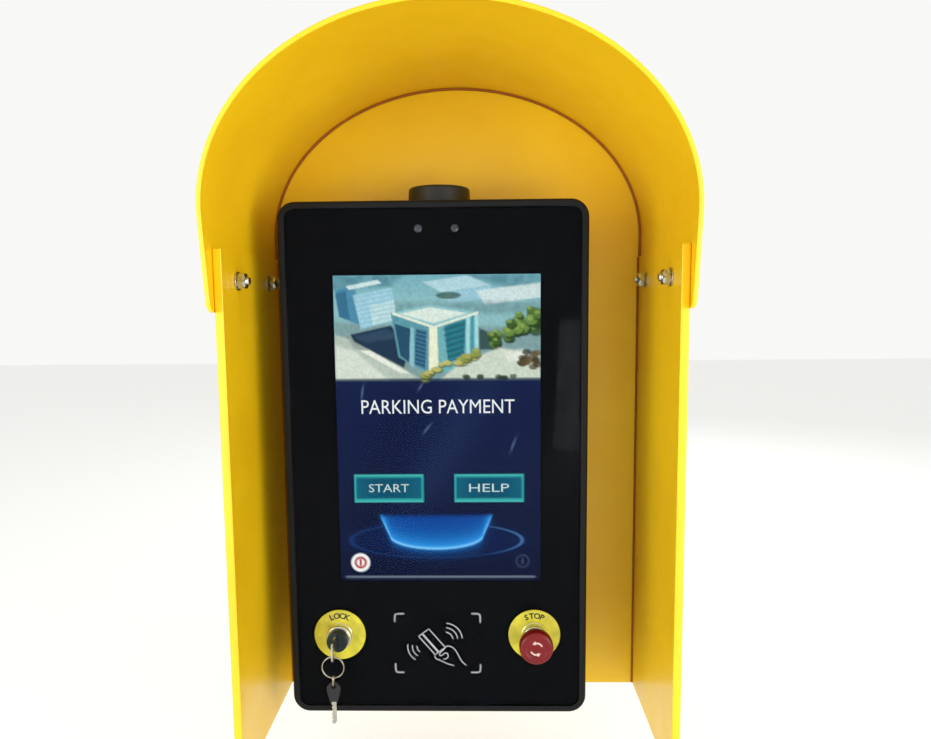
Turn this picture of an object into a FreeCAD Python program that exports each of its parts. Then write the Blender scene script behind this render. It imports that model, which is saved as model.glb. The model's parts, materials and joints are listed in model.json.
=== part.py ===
"""Outdoor parking pay terminal in a folded sheet-steel weather shroud.

Units are millimetres.  X points right as the user sees it, Y points back into the wall and Z points up.
The origin is the centre of the wall bolt pattern, on the rear face of the shroud's back plate.
"""
import FreeCAD, Part
import math
import os

os.makedirs("parts", exist_ok=True)
V = FreeCAD.Vector

# ---- shroud: folded and powder-coated sheet steel
SHEET = 2.0                 # sheet thickness
HALF_WIDTH = 232.0          # centre line to the outer face of a side wall
SHROUD_BOTTOM = -328.0      # lower edge of the back plate and of the side walls
WALL_TOP = 240.0            # upper edge of the side walls
WALL_REACH = 222.0          # wall plane to the front edge of a side wall
WALL_LIP = 9.0              # width of the side walls' front return
ARCH_SPRING = 266.0         # height where the arch leaves the straight sides
ARCH_RISE = 183.0           # spring line to the crown, inside the hood
HOOD_BOTTOM = 178.0         # lower edge of the hood's sides
HOOD_REACH = 252.0          # wall plane to the hood's front edge, at the spring line
HOOD_RAKE = 8.5             # degrees that the hood's front edge leans forward
HOOD_LIP = 3.0              # how far the hood's front return stands in from its inner face
HOOD_CORNER = 14.0          # radius of the hood's lower front corners
TAB_LENGTH = 40.0           # wall tabs in the back plate's edge notches
TAB_HEIGHTS = (-240.0, -80.0, 80.0)
TAB_CLEARANCE = 0.3

# ---- fasteners of the hood
HOOD_BOLT_Z = 210.0
HOOD_BOLT_Y = (-43.0, -158.0)
BOLT_R = 5.0                # M10
BOLT_CLEARANCE = 0.5
BOLT_HEAD_R = 8.5           # low domed head
BOLT_HEAD_T = 5.0
WASHER_R = 10.0
WASHER_T = 2.0
NUT_FLATS = 16.0
NUT_T = 8.4
BOLT_END = 3.5              # thread left beyond the nut

# ---- wall fixing and cable entry
WALL_HOLE_DX = 110.0
WALL_HOLE_DZ = 220.0
WALL_HOLE_R = 4.5
GROMMET_Z = -180.0
GROMMET_HOLE_R = 20.0
GROMMET_BORE_R = 12.0
GROMMET_FLANGE_R = 26.0
GROMMET_FLANGE_T = 3.0

# ---- terminal: front frame, glass and housing
TERMINAL_X = -23.25         # centre line of the terminal
FACE_Y = -122.0             # front face of the frame and of the glass
FRAME_H = 595.0
FRAME_T = 22.0
FRAME_CORNER = 20.0
FRAME_BORDER = 8.0
FRAME_EDGE = 3.5            # rounding of the frame's front edge
WEB_T = 3.0                 # frame web behind the glass
GLASS_T = 4.0
GLASS_CLEARANCE = 0.3
MASK_T = 0.2
GASKET_T = 0.8
GASKET_W = 6.0
HOUSING_INSET = 8.0
HOUSING_REAR = -24.0
HOUSING_WALL = 2.5
HOUSING_CORNER = 14.0
POST_R = 5.5
POST_INSET = 11.75
POST_NECK = 6.0             # solid length left under the housing screw head
M4_R = 2.0
M4_HEAD_R = 3.8
M4_HEAD_T = 2.6
M4_LENGTH = 16.0

# ---- display and electronics
SCREEN_SHIFT = 3.45         # display centre right of the terminal's centre line
SCREEN_Z = 39.5
SCREEN_W = 231.8
SCREEN_SIDE = 56.85         # picture area to the frame's side
SCREEN_H = 353.0
LCD_MARGIN = 8.1
LCD_T = 14.0
LCD_CLEARANCE = 0.25
LCD_RECESS = 0.5
CHASSIS_T = 1.5
CHASSIS_BOSS_R = 4.0
CHASSIS_BOSS_GAP = 7.2      # boss centre beyond the display's side
CHASSIS_MARGIN = 7.0
M3_R = 1.5
M3_HEAD_R = 2.8
M3_HEAD_T = 2.0
M3_LENGTH = 6.0
BOARD_W = 170.0
BOARD_H = 170.0
BOARD_T = 1.6
BOARD_Z = 128.0
STANDOFF_T = 6.0
STANDOFF_FLATS = 5.5
BOARD_HOLE_INSET = 6.0
SUPPLY_W = 129.0
SUPPLY_H = 97.0
SUPPLY_T = 30.0
SUPPLY_Z = -42.0
STRIP_W = 96.0
STRIP_H = 18.0
STRIP_T = 14.0
STRIP_Z = -118.0
READER_W = 90.0
READER_H = 66.0
READER_T = 12.0
READER_SHIFT = -0.45
READER_RISE = 85.5          # reader centre above the frame's lower edge
CAMERA_SHIFT = 4.05
CAMERA_DROP = 30.5          # lenses below the frame's upper edge
CAMERA_PITCH = 40.6
CAMERA_BARREL_R = 6.0
CAMERA_LENS_R = 4.5
CAMERA_BOARD_Y = -108.0
CAMERA_SCREW_DX = 30.0
SPEAKER_X = -110.0
SPEAKER_R = 25.0
SPEAKER_T = 18.0

# ---- antenna and cable gland
ANTENNA_SHIFT = 4.75
ANTENNA_R = 37.0
ANTENNA_H = 28.5
ANTENNA_STEM_R = 8.0
GLAND_X = 60.0
GLAND_Y = -62.0
GLAND_THREAD_R = 10.0
GLAND_BORE_R = 6.0

# ---- 22 mm control devices
KEY_INSET = 58.0            # key switch axis in from the frame's left side
ESTOP_INSET = 60.5          # emergency stop axis in from the frame's right side
DEVICE_RISE = 96.5          # both axes above the frame's lower edge
DEVICE_R = 11.0
DEVICE_CLEARANCE = 0.25
LEGEND_R = 30.0
LEGEND_T = 1.5
DEVICE_REAR = -88.0
DEVICE_NUT_R = 16.0
DEVICE_NUT_T = 5.0
BLOCK_W = 30.0
BLOCK_H = 40.0
BLOCK_T = 28.0
RUNNING = 0.05              # radial running clearance
GAP = 0.3                   # gap between pieces of different bodies

KEY_COLLAR_R = 14.5
KEY_COLLAR_T = 9.5
BARREL_HEAD_R = 12.0
BARREL_HEAD_T = 9.7
BARREL_R = 7.0
KEYWAY_DEPTH = 25.0
KEY_THICK = 2.2
KEY_BLADE_H = 8.6
KEY_BLADE_L = 24.0
KEY_CLEARANCE = 0.3
BOW_START = 2.5             # barrel face to the key's bow
BOW_L = 25.0
BOW_H = 23.0
BOW_CORNER = 8.0
BOW_HOLE_R = 2.5
BOW_HOLE_INSET = 5.0
BOW_HOLE_DROP = 4.0
CAM_LIFT = 3.0
CAM_PIN_R = 1.2
CAM_PIN_OFFSET = 4.6

RING_R = 12.2
RING_WIRE_R = 0.9
LINK_R = 2.6
LINK_WIRE_R = 0.7
LINK_L = 11.0
SPARE_HOLE_R = 2.6
SPARE_HEAD_W = 15.0
SPARE_HEAD_H = 22.0
SPARE_HEAD_T = 2.6
SPARE_BLADE_W = 5.5
SPARE_BLADE_L = 26.0
SPARE_BLADE_T = 1.4

ESTOP_COLLAR_R = 15.0
ESTOP_COLLAR_T = 11.5
ESTOP_BORE_CLEARANCE = 0.85
ESTOP_BORE_DEPTH = 8.0
ESTOP_HEAD_R = 19.0
ESTOP_HEAD_T = 14.0
ESTOP_PROUD = 36.0          # frame face to the button's face
ESTOP_NECK_R = 10.0
ESTOP_NECK_T = 5.0
ESTOP_STEM_R = 8.0
ESTOP_TIP_R = 6.0
ESTOP_TRAVEL = 5.0
ESTOP_STEM_GAP = 1.0        # left between the stem and its contact block at full travel
ESTOP_PIN_R = 3.0
SPRING_WIRE_R = 0.7
SPRING_CLEARANCE = 0.75     # spring wire round the stem
SPRING_TURNS = 4

# ---- mounting bracket behind the terminal
BRACKET_HALF_W = 90.0
BRACKET_HALF_H = 110.0
BRACKET_T = 2.5
BRACKET_FOOT = 28.0
STUD_DX = 105.0
STUD_DZ = 85.0
STUD_R = 3.0
STUD_LENGTH = 12.0
STUD_NUT_FLATS = 10.0
STUD_NUT_T = 5.0
VESA_HALF = 50.0
VESA_R = 2.5
VESA_HEAD_R = 4.5
VESA_HEAD_T = 2.8
VESA_LENGTH = 14.0

# ---- places and fits worked out from the sizes above
BOLT_HOLE_R = BOLT_R + BOLT_CLEARANCE
DEVICE_HOLE_R = DEVICE_R + DEVICE_CLEARANCE
SPRING_R = ESTOP_STEM_R + SPRING_WIRE_R + SPRING_CLEARANCE
ESTOP_BORE_R = max(ESTOP_NECK_R, SPRING_R + SPRING_WIRE_R) + ESTOP_BORE_CLEARANCE
FRAME_W = SCREEN_W + 2 * SCREEN_SIDE
SCREEN_X = TERMINAL_X + SCREEN_SHIFT
CAMERA_X = TERMINAL_X + CAMERA_SHIFT
CAMERA_Z = FRAME_H / 2 - CAMERA_DROP
READER_X = TERMINAL_X + READER_SHIFT
READER_Z = -FRAME_H / 2 + READER_RISE
ANTENNA_X = TERMINAL_X + ANTENNA_SHIFT
KEY_X = TERMINAL_X - FRAME_W / 2 + KEY_INSET
ESTOP_X = TERMINAL_X + FRAME_W / 2 - ESTOP_INSET
DEVICE_Z = -FRAME_H / 2 + DEVICE_RISE
PLATE_Y = -SHEET
GLASS_REAR = FACE_Y + GLASS_T
MASK_REAR = GLASS_REAR + MASK_T
WEB_FRONT = MASK_REAR + GASKET_T
WEB_REAR = WEB_FRONT + WEB_T
FRAME_REAR = FACE_Y + FRAME_T
LCD_REAR = MASK_REAR + LCD_T
CHASSIS_REAR = LCD_REAR + CHASSIS_T
BOARD_Y = CHASSIS_REAR + STANDOFF_T
HOUSING_W = FRAME_W - 2 * HOUSING_INSET
HOUSING_H = FRAME_H - 2 * HOUSING_INSET
HOUSING_TOP = HOUSING_H / 2
ANTENNA_Y = (FRAME_REAR + HOUSING_REAR) / 2
LEGEND_Y = FACE_Y - LEGEND_T
BARREL_FACE = LEGEND_Y - KEY_COLLAR_T - GAP - BARREL_HEAD_T
BOW_BACK = BARREL_FACE - BOW_START
RING_PIVOT_Y = BOW_BACK - BOW_L + BOW_HOLE_INSET
RING_PIVOT_Z = DEVICE_Z - BOW_HOLE_DROP
RING_TOP = RING_PIVOT_Z - RING_WIRE_R
RING_BOTTOM = RING_TOP - 2 * RING_R
LINK_TOP = RING_BOTTOM + RING_WIRE_R + LINK_WIRE_R + GAP
LINK_BOTTOM = LINK_TOP - LINK_L
ESTOP_FACE = FACE_Y - ESTOP_PROUD
ESTOP_NECK_END = ESTOP_FACE + ESTOP_HEAD_T + ESTOP_NECK_T
ESTOP_STEM_END = DEVICE_REAR - ESTOP_TRAVEL - ESTOP_STEM_GAP


# ---- shared shapes
def block(x0, x1, y0, y1, z0, z1):
    """Box between two corners."""
    return Part.makeBox(x1 - x0, y1 - y0, z1 - z0, V(x0, y0, z0))


def rod_x(y, z, r, x0, x1):
    return Part.makeCylinder(r, x1 - x0, V(x0, y, z), V(1, 0, 0))


def rod_y(x, z, r, y0, y1):
    return Part.makeCylinder(r, y1 - y0, V(x, y0, z), V(0, 1, 0))


def rod_z(x, y, r, z0, z1):
    return Part.makeCylinder(r, z1 - z0, V(x, y, z0), V(0, 0, 1))


def tube_y(x, z, outer, inner, y0, y1):
    return rod_y(x, z, outer, y0, y1).cut(rod_y(x, z, inner, y0, y1))


def slab(cx, cz, w, h, r, y0, y1):
    """Flat piece in the XZ plane with rounded corners."""
    body = block(cx - w / 2, cx + w / 2, y0, y1, cz - h / 2, cz + h / 2)
    long_edges = [e for e in body.Edges if abs(e.tangentAt(e.FirstParameter).y) > 0.9]
    return body.makeFillet(r, long_edges)


def hexagon(centre, flats, axis, length):
    """Hexagonal bar from centre along axis, which is 'x', 'y' or 'z'."""
    reach = flats / math.sqrt(3)
    points = []
    for i in range(7):
        a = math.radians(60 * i)
        u, v = reach * math.cos(a), reach * math.sin(a)
        offset = {"x": V(0, u, v), "y": V(u, 0, v), "z": V(u, v, 0)}[axis]
        points.append(centre + offset)
    way = {"x": V(1, 0, 0), "y": V(0, 1, 0), "z": V(0, 0, 1)}[axis]
    return Part.Face(Part.makePolygon(points)).extrude(way * length)


def turned(x, z, profile):
    """Solid of revolution about a Y axis; profile is a list of (radius, y)."""
    points = [V(x + r, y, z) for r, y in profile]
    face = Part.Face(Part.makePolygon(points + [points[0]]))
    return face.revolve(V(x, 0, z), V(0, 1, 0), 360)


def screw_y(x, z, seat, r, length, head_r, head_t):
    """Pan-head screw: the head stands behind the seat and the shank runs forward."""
    return rod_y(x, z, r, seat - length, seat).fuse(rod_y(x, z, head_r, seat, seat + head_t)).removeSplitter()


def cut_all(shape, tools):
    return shape.cut(Part.makeCompound(tools))


def save(name, shape):
    """Write one node; a list is written as a group of separate solids."""
    if isinstance(shape, list):
        shape = Part.makeCompound(shape)
    bad = [s for s in shape.Solids if not s.isValid() or s.Volume <= 0]
    print(name, "solids", len(shape.Solids), "volume", round(shape.Volume), "BAD" if bad else "")
    shape.exportStep("parts/" + name + ".step")


# ---- shroud
def arch(half, rise, bottom, y0, y1):
    """Prism with straight sides up to the spring line and an elliptical crown."""
    centre = V(0, y0, ARCH_SPRING)
    ellipse = Part.Ellipse(V(half, y0, ARCH_SPRING), V(0, y0, ARCH_SPRING + rise), centre)
    crown = Part.ArcOfEllipse(ellipse, 0, math.pi).toShape()
    left, right = V(-half, y0, ARCH_SPRING), V(half, y0, ARCH_SPRING)
    low_left, low_right = V(-half, y0, bottom), V(half, y0, bottom)
    sides = [Part.makeLine(left, low_left), Part.makeLine(low_left, low_right), Part.makeLine(low_right, right)]
    return Part.Face(Part.Wire([crown] + sides)).extrude(V(0, y1 - y0, 0))


def raked(y0, y1):
    """Upright slab of space that leans forward with the hood's front edge."""
    size = 3 * HALF_WIDTH
    space = block(-size, size, y0, y1, ARCH_SPRING - size, ARCH_SPRING + size)
    space.rotate(V(0, -HOOD_REACH, ARCH_SPRING), V(1, 0, 0), HOOD_RAKE)
    return space


def hood_corner_cutter():
    """What is removed to round the hood's lower front corners."""
    rake = math.radians(HOOD_RAKE)
    y0 = -HOOD_REACH - (HOOD_BOTTOM - ARCH_SPRING) * math.tan(rake)
    yc = y0 + HOOD_CORNER * (1 - math.sin(rake)) / math.cos(rake)
    zc = HOOD_BOTTOM + HOOD_CORNER
    tangent = V(0, yc - HOOD_CORNER * math.cos(rake), zc - HOOD_CORNER * math.sin(rake))
    corner = [V(0, y0, HOOD_BOTTOM), V(0, yc, HOOD_BOTTOM), V(0, yc, zc), tangent, V(0, y0, HOOD_BOTTOM)]
    reach = HALF_WIDTH + 2 * SHEET
    shift = V(-reach, 0, 0)
    prism = Part.Face(Part.makePolygon([p + shift for p in corner])).extrude(V(2 * reach, 0, 0))
    return prism.cut(rod_x(yc, zc, HOOD_CORNER, -reach, reach))


def hood_holes(x0, x1):
    """Bolt holes through the hood and the walls, on both sides."""
    return [rod_x(y, HOOD_BOLT_Z, BOLT_HOLE_R, *sorted((s * x0, s * x1))) for s in (-1, 1) for y in HOOD_BOLT_Y]


def hood():
    far = -2 * HOOD_REACH
    outer = arch(HALF_WIDTH + SHEET, ARCH_RISE + SHEET, HOOD_BOTTOM, far, 0)
    inner = arch(HALF_WIDTH, ARCH_RISE, HOOD_BOTTOM, far, 0)
    mouth = arch(HALF_WIDTH - HOOD_LIP, ARCH_RISE - HOOD_LIP, HOOD_BOTTOM, far, 0)
    shell = outer.cut(inner).cut(raked(-4 * HOOD_REACH, -HOOD_REACH))
    lip = outer.cut(mouth).common(raked(-HOOD_REACH, -HOOD_REACH + SHEET))
    whole = shell.fuse(lip).removeSplitter().cut(hood_corner_cutter())
    return cut_all(whole, hood_holes(HALF_WIDTH - SHEET, HALF_WIDTH + 2 * SHEET))


def side_wall(side):
    """Side wall with its front return and its tabs; side is -1 or 1."""
    def span(a, b, *rest):
        return block(*sorted((side * a, side * b)), *rest)
    inside = HALF_WIDTH - SHEET
    sheet = span(inside, HALF_WIDTH, -WALL_REACH, PLATE_Y, SHROUD_BOTTOM, WALL_TOP)
    lip = span(HALF_WIDTH - WALL_LIP, HALF_WIDTH, -WALL_REACH, -WALL_REACH + SHEET, SHROUD_BOTTOM, WALL_TOP)
    tabs = [span(inside, HALF_WIDTH, PLATE_Y, 0, z - TAB_LENGTH / 2, z + TAB_LENGTH / 2) for z in TAB_HEIGHTS]
    wall = sheet.fuse([lip] + tabs).removeSplitter()
    return cut_all(wall, hood_holes(inside - SHEET, HALF_WIDTH + SHEET))


def stud_places():
    return [(TERMINAL_X + sx * STUD_DX, sz * STUD_DZ) for sx in (-1, 1) for sz in (-1, 1)]


def back_plate():
    plate = arch(HALF_WIDTH, ARCH_RISE, SHROUD_BOTTOM, PLATE_Y, 0)
    half_tab = TAB_LENGTH / 2 + TAB_CLEARANCE
    cuts = [rod_y(sx * WALL_HOLE_DX, sz * WALL_HOLE_DZ, WALL_HOLE_R, PLATE_Y, 0)
            for sx in (-1, 1) for sz in (-1, 1)]
    cuts += [rod_y(x, z, STUD_R, PLATE_Y, 0) for x, z in stud_places()]
    cuts.append(rod_y(TERMINAL_X, GROMMET_Z, GROMMET_HOLE_R, PLATE_Y, 0))
    for side in (-1, 1):
        x0, x1 = sorted((side * (HALF_WIDTH - SHEET), side * (HALF_WIDTH + SHEET)))
        cuts += [block(x0, x1, PLATE_Y, 0, z - half_tab, z + half_tab) for z in TAB_HEIGHTS]
    return cut_all(plate, cuts)


def hood_fasteners():
    """Domed bolts from outside, a washer under each head and each nut, and the nuts inside."""
    bolts, washers, nuts = [], [], []
    outside = HALF_WIDTH + SHEET
    inside = HALF_WIDTH - SHEET
    for side in (-1, 1):
        for y in HOOD_BOLT_Y:
            seat = outside + WASHER_T
            nut_face = inside - WASHER_T
            end = nut_face - NUT_T - BOLT_END
            dome = Part.makeSphere(2 * BOLT_HEAD_R, V(seat + BOLT_HEAD_T - 2 * BOLT_HEAD_R, y, HOOD_BOLT_Z))
            head = rod_x(y, HOOD_BOLT_Z, BOLT_HEAD_R, seat, seat + BOLT_HEAD_T).common(dome)
            bolt = rod_x(y, HOOD_BOLT_Z, BOLT_R, end, seat).fuse(head).removeSplitter()
            pair = [rod_x(y, HOOD_BOLT_Z, WASHER_R, outside, seat), rod_x(y, HOOD_BOLT_Z, WASHER_R, nut_face, inside)]
            bore = rod_x(y, HOOD_BOLT_Z, BOLT_R, end, seat)
            nut = hexagon(V(nut_face - NUT_T, y, HOOD_BOLT_Z), NUT_FLATS, "x", NUT_T).cut(bore)
            group = [bolt, nut] + [w.cut(bore) for w in pair]
            if side < 0:
                group = [s.mirror(V(0, 0, 0), V(1, 0, 0)) for s in group]
            bolts.append(group[0])
            nuts.append(group[1])
            washers += group[2:]
    return bolts, washers, nuts


def cable_grommet():
    flange = rod_y(TERMINAL_X, GROMMET_Z, GROMMET_FLANGE_R, PLATE_Y - GROMMET_FLANGE_T, PLATE_Y)
    sleeve = rod_y(TERMINAL_X, GROMMET_Z, GROMMET_HOLE_R, PLATE_Y, 0)
    bore = rod_y(TERMINAL_X, GROMMET_Z, GROMMET_BORE_R, PLATE_Y - GROMMET_FLANGE_T, 0)
    return flange.fuse(sleeve).removeSplitter().cut(bore)


# ---- terminal bracket
def vesa_places():
    return [(TERMINAL_X + sx * VESA_HALF, sz * VESA_HALF) for sx in (-1, 1) for sz in (-1, 1)]


def terminal_bracket():
    """Hat-shaped bracket: a web on the housing, two legs, and feet on the back plate."""
    web_rear = HOUSING_REAR + BRACKET_T
    left, right = TERMINAL_X - BRACKET_HALF_W, TERMINAL_X + BRACKET_HALF_W
    low, high = -BRACKET_HALF_H, BRACKET_HALF_H
    web = block(left, right, HOUSING_REAR, web_rear, low, high)
    legs = [block(left, left + BRACKET_T, HOUSING_REAR, PLATE_Y, low, high),
            block(right - BRACKET_T, right, HOUSING_REAR, PLATE_Y, low, high)]
    feet = [block(left - BRACKET_FOOT, left + BRACKET_T, PLATE_Y - BRACKET_T, PLATE_Y, low, high),
            block(right - BRACKET_T, right + BRACKET_FOOT, PLATE_Y - BRACKET_T, PLATE_Y, low, high)]
    holes = [rod_y(x, z, VESA_R, HOUSING_REAR, web_rear) for x, z in vesa_places()]
    holes += [rod_y(x, z, STUD_R + GAP, PLATE_Y - BRACKET_T, PLATE_Y) for x, z in stud_places()]
    return cut_all(web.fuse(legs + feet).removeSplitter(), holes)


def bracket_fasteners():
    studs = [rod_y(x, z, STUD_R, -STUD_LENGTH, 0) for x, z in stud_places()]
    seat = PLATE_Y - BRACKET_T
    nuts = []
    for (x, z), stud in zip(stud_places(), studs):
        nuts.append(hexagon(V(x, seat - STUD_NUT_T, z), STUD_NUT_FLATS, "y", STUD_NUT_T).cut(stud))
    web_rear = HOUSING_REAR + BRACKET_T
    screws = [screw_y(x, z, web_rear, VESA_R, VESA_LENGTH, VESA_HEAD_R, VESA_HEAD_T) for x, z in vesa_places()]
    return studs, nuts, screws


# ---- terminal housing and front
def post_places():
    dx = HOUSING_W / 2 - POST_INSET
    dz = HOUSING_H / 2 - POST_INSET
    return [(TERMINAL_X + sx * dx, z) for sx in (-1, 1) for z in (-dz, 0, dz)]


def rear_housing():
    outer = slab(TERMINAL_X, 0, HOUSING_W, HOUSING_H, HOUSING_CORNER, FRAME_REAR, HOUSING_REAR)
    wall = HOUSING_WALL
    hollow = slab(TERMINAL_X, 0, HOUSING_W - 2 * wall, HOUSING_H - 2 * wall, HOUSING_CORNER - wall,
                  FRAME_REAR, HOUSING_REAR - wall)
    shell = outer.cut(hollow)
    floor = HOUSING_REAR - wall
    posts = [rod_y(x, z, POST_R, FRAME_REAR, floor) for x, z in post_places()]
    pads = [rod_y(x, z, 2 * VESA_R, HOUSING_REAR + BRACKET_T - VESA_LENGTH, floor) for x, z in vesa_places()]
    shell = shell.fuse(posts + pads)
    cuts = []
    for x, z in post_places():
        cuts.append(rod_y(x, z, M4_R, FRAME_REAR, HOUSING_REAR))
        cuts.append(rod_y(x, z, M4_HEAD_R + GAP, FRAME_REAR + POST_NECK, HOUSING_REAR))
    cuts += [rod_y(x, z, VESA_R, HOUSING_REAR + BRACKET_T - VESA_LENGTH, HOUSING_REAR) for x, z in vesa_places()]
    mid_y = (FRAME_REAR + HOUSING_REAR) / 2
    for side in (-1, 1):
        edge = TERMINAL_X + side * HOUSING_W / 2
        for i in range(12):
            z = 60 + i * 12
            cuts.append(block(edge - 2 * wall, edge + 2 * wall, mid_y - 18, mid_y + 18, z, z + 4))
    for i in range(7):
        x = SPEAKER_X - 18 + i * 6
        cuts.append(block(x - 1.2, x + 1.2, mid_y - 14, mid_y + 14, -HOUSING_TOP, -HOUSING_TOP + wall))
    cuts.append(rod_z(ANTENNA_X, ANTENNA_Y, ANTENNA_STEM_R, HOUSING_TOP - wall, HOUSING_TOP))
    cuts.append(rod_z(GLAND_X, GLAND_Y, GLAND_THREAD_R, -HOUSING_TOP, -HOUSING_TOP + wall))
    return cut_all(shell.removeSplitter(), cuts)


def housing_screws():
    seat = FRAME_REAR + POST_NECK
    return [screw_y(x, z, seat, M4_R, M4_LENGTH, M4_HEAD_R, M4_HEAD_T) for x, z in post_places()]


def chassis_boss_places():
    dx = SCREEN_W / 2 + LCD_MARGIN + CHASSIS_BOSS_GAP
    dz = SCREEN_H / 2
    return [(SCREEN_X + sx * dx, SCREEN_Z + sz * dz) for sx in (-1, 1) for sz in (-1, 0, 1)]


def camera_places():
    return [(CAMERA_X - CAMERA_PITCH / 2, CAMERA_Z), (CAMERA_X + CAMERA_PITCH / 2, CAMERA_Z)]


def camera_screw_places():
    reach = CAMERA_PITCH / 2 + CAMERA_SCREW_DX / 2
    return [(CAMERA_X - reach, CAMERA_Z), (CAMERA_X + reach, CAMERA_Z)]


def device_places():
    return [(KEY_X, DEVICE_Z), (ESTOP_X, DEVICE_Z)]


def front_outline(inset, y0, y1):
    """Slab with the frame's outline, moved in all round."""
    return slab(TERMINAL_X, 0, FRAME_W - 2 * inset, FRAME_H - 2 * inset, FRAME_CORNER - inset, y0, y1)


def front_frame():
    outer = front_outline(0, FACE_Y, FRAME_REAR)
    front_edges = [e for e in outer.Edges if abs(e.BoundBox.YMin - FACE_Y) < 0.01 and e.BoundBox.YLength < 0.01]
    outer = outer.makeFillet(FRAME_EDGE, front_edges)
    pocket = front_outline(FRAME_BORDER, FACE_Y, WEB_FRONT)
    cavity = front_outline(FRAME_BORDER, WEB_REAR, FRAME_REAR)
    frame = outer.cut(pocket).cut(cavity)
    bosses = [rod_y(x, z, CHASSIS_BOSS_R, WEB_REAR, LCD_REAR) for x, z in chassis_boss_places()]
    bosses += [rod_y(x, z, POST_R, WEB_REAR, FRAME_REAR) for x, z in post_places()]
    bosses += [rod_y(x, z, 2 * M3_R, WEB_REAR, CAMERA_BOARD_Y) for x, z in camera_screw_places()]
    frame = frame.fuse(bosses).removeSplitter()
    opening = LCD_MARGIN + LCD_CLEARANCE
    cuts = [block(SCREEN_X - SCREEN_W / 2 - opening, SCREEN_X + SCREEN_W / 2 + opening, WEB_FRONT, WEB_REAR,
                  SCREEN_Z - SCREEN_H / 2 - opening, SCREEN_Z + SCREEN_H / 2 + opening)]
    cuts += [rod_y(x, z, M3_R, LCD_REAR + CHASSIS_T - M3_LENGTH, LCD_REAR) for x, z in chassis_boss_places()]
    cuts += [rod_y(x, z, M4_R, FRAME_REAR + POST_NECK - M4_LENGTH, FRAME_REAR) for x, z in post_places()]
    cuts += [rod_y(x, z, M3_R, CAMERA_BOARD_Y + BOARD_T - M3_LENGTH, CAMERA_BOARD_Y)
             for x, z in camera_screw_places()]
    cuts += [rod_y(x, z, CAMERA_BARREL_R + GAP, WEB_FRONT, WEB_REAR) for x, z in camera_places()]
    cuts += [rod_y(x, z, DEVICE_HOLE_R, WEB_FRONT, WEB_REAR) for x, z in device_places()]
    return cut_all(frame, cuts)


def cover_glass():
    glass = front_outline(FRAME_BORDER + GLASS_CLEARANCE, FACE_Y, GLASS_REAR)
    rim = [e for e in glass.Edges if abs(e.BoundBox.YMin - FACE_Y) < 0.01 and e.BoundBox.YLength < 0.01]
    glass = glass.makeChamfer(0.6, rim)
    return cut_all(glass, [rod_y(x, z, DEVICE_HOLE_R, FACE_Y, GLASS_REAR) for x, z in device_places()])


def mask_print():
    """Black ceramic print on the back of the glass, clear over the display and the cameras."""
    mask = front_outline(FRAME_BORDER + GLASS_CLEARANCE, GLASS_REAR, MASK_REAR)
    cuts = [block(SCREEN_X - SCREEN_W / 2, SCREEN_X + SCREEN_W / 2, GLASS_REAR, MASK_REAR,
                  SCREEN_Z - SCREEN_H / 2, SCREEN_Z + SCREEN_H / 2)]
    cuts += [rod_y(x, z, CAMERA_LENS_R + GAP, GLASS_REAR, MASK_REAR) for x, z in camera_places()]
    cuts += [rod_y(x, z, DEVICE_HOLE_R, GLASS_REAR, MASK_REAR) for x, z in device_places()]
    return cut_all(mask, cuts)


def glass_gasket():
    outer = front_outline(FRAME_BORDER + GLASS_CLEARANCE, MASK_REAR, WEB_FRONT)
    return outer.cut(front_outline(FRAME_BORDER + GLASS_CLEARANCE + GASKET_W, MASK_REAR, WEB_FRONT))


# ---- display and electronics
def lcd_module():
    half_w = SCREEN_W / 2 + LCD_MARGIN
    half_h = SCREEN_H / 2 + LCD_MARGIN
    body = block(SCREEN_X - half_w, SCREEN_X + half_w, MASK_REAR, LCD_REAR, SCREEN_Z - half_h, SCREEN_Z + half_h)
    recess = block(SCREEN_X - SCREEN_W / 2, SCREEN_X + SCREEN_W / 2, MASK_REAR, MASK_REAR + LCD_RECESS,
                   SCREEN_Z - SCREEN_H / 2, SCREEN_Z + SCREEN_H / 2)
    return body.cut(recess)


def board_hole_places():
    dx = BOARD_W / 2 - BOARD_HOLE_INSET
    dz = BOARD_H / 2 - BOARD_HOLE_INSET
    return [(SCREEN_X + sx * dx, BOARD_Z + sz * dz) for sx in (-1, 1) for sz in (-1, 1)]


def chassis_plate():
    half_w = SCREEN_W / 2 + LCD_MARGIN + CHASSIS_BOSS_GAP + CHASSIS_MARGIN
    half_h = SCREEN_H / 2 + LCD_MARGIN + CHASSIS_MARGIN
    plate = slab(SCREEN_X, SCREEN_Z, 2 * half_w, 2 * half_h, CHASSIS_MARGIN, LCD_REAR, CHASSIS_REAR)
    return cut_all(plate, [rod_y(x, z, M3_R, LCD_REAR, CHASSIS_REAR) for x, z in chassis_boss_places()])


def chassis_screws():
    return [screw_y(x, z, CHASSIS_REAR, M3_R, M3_LENGTH, M3_HEAD_R, M3_HEAD_T) for x, z in chassis_boss_places()]


def board_standoffs():
    posts = []
    for x, z in board_hole_places():
        post = hexagon(V(x, CHASSIS_REAR, z), STANDOFF_FLATS, "y", STANDOFF_T)
        posts.append(post.cut(rod_y(x, z, M3_R, BOARD_Y + BOARD_T - M3_LENGTH, BOARD_Y)))
    return posts


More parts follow.
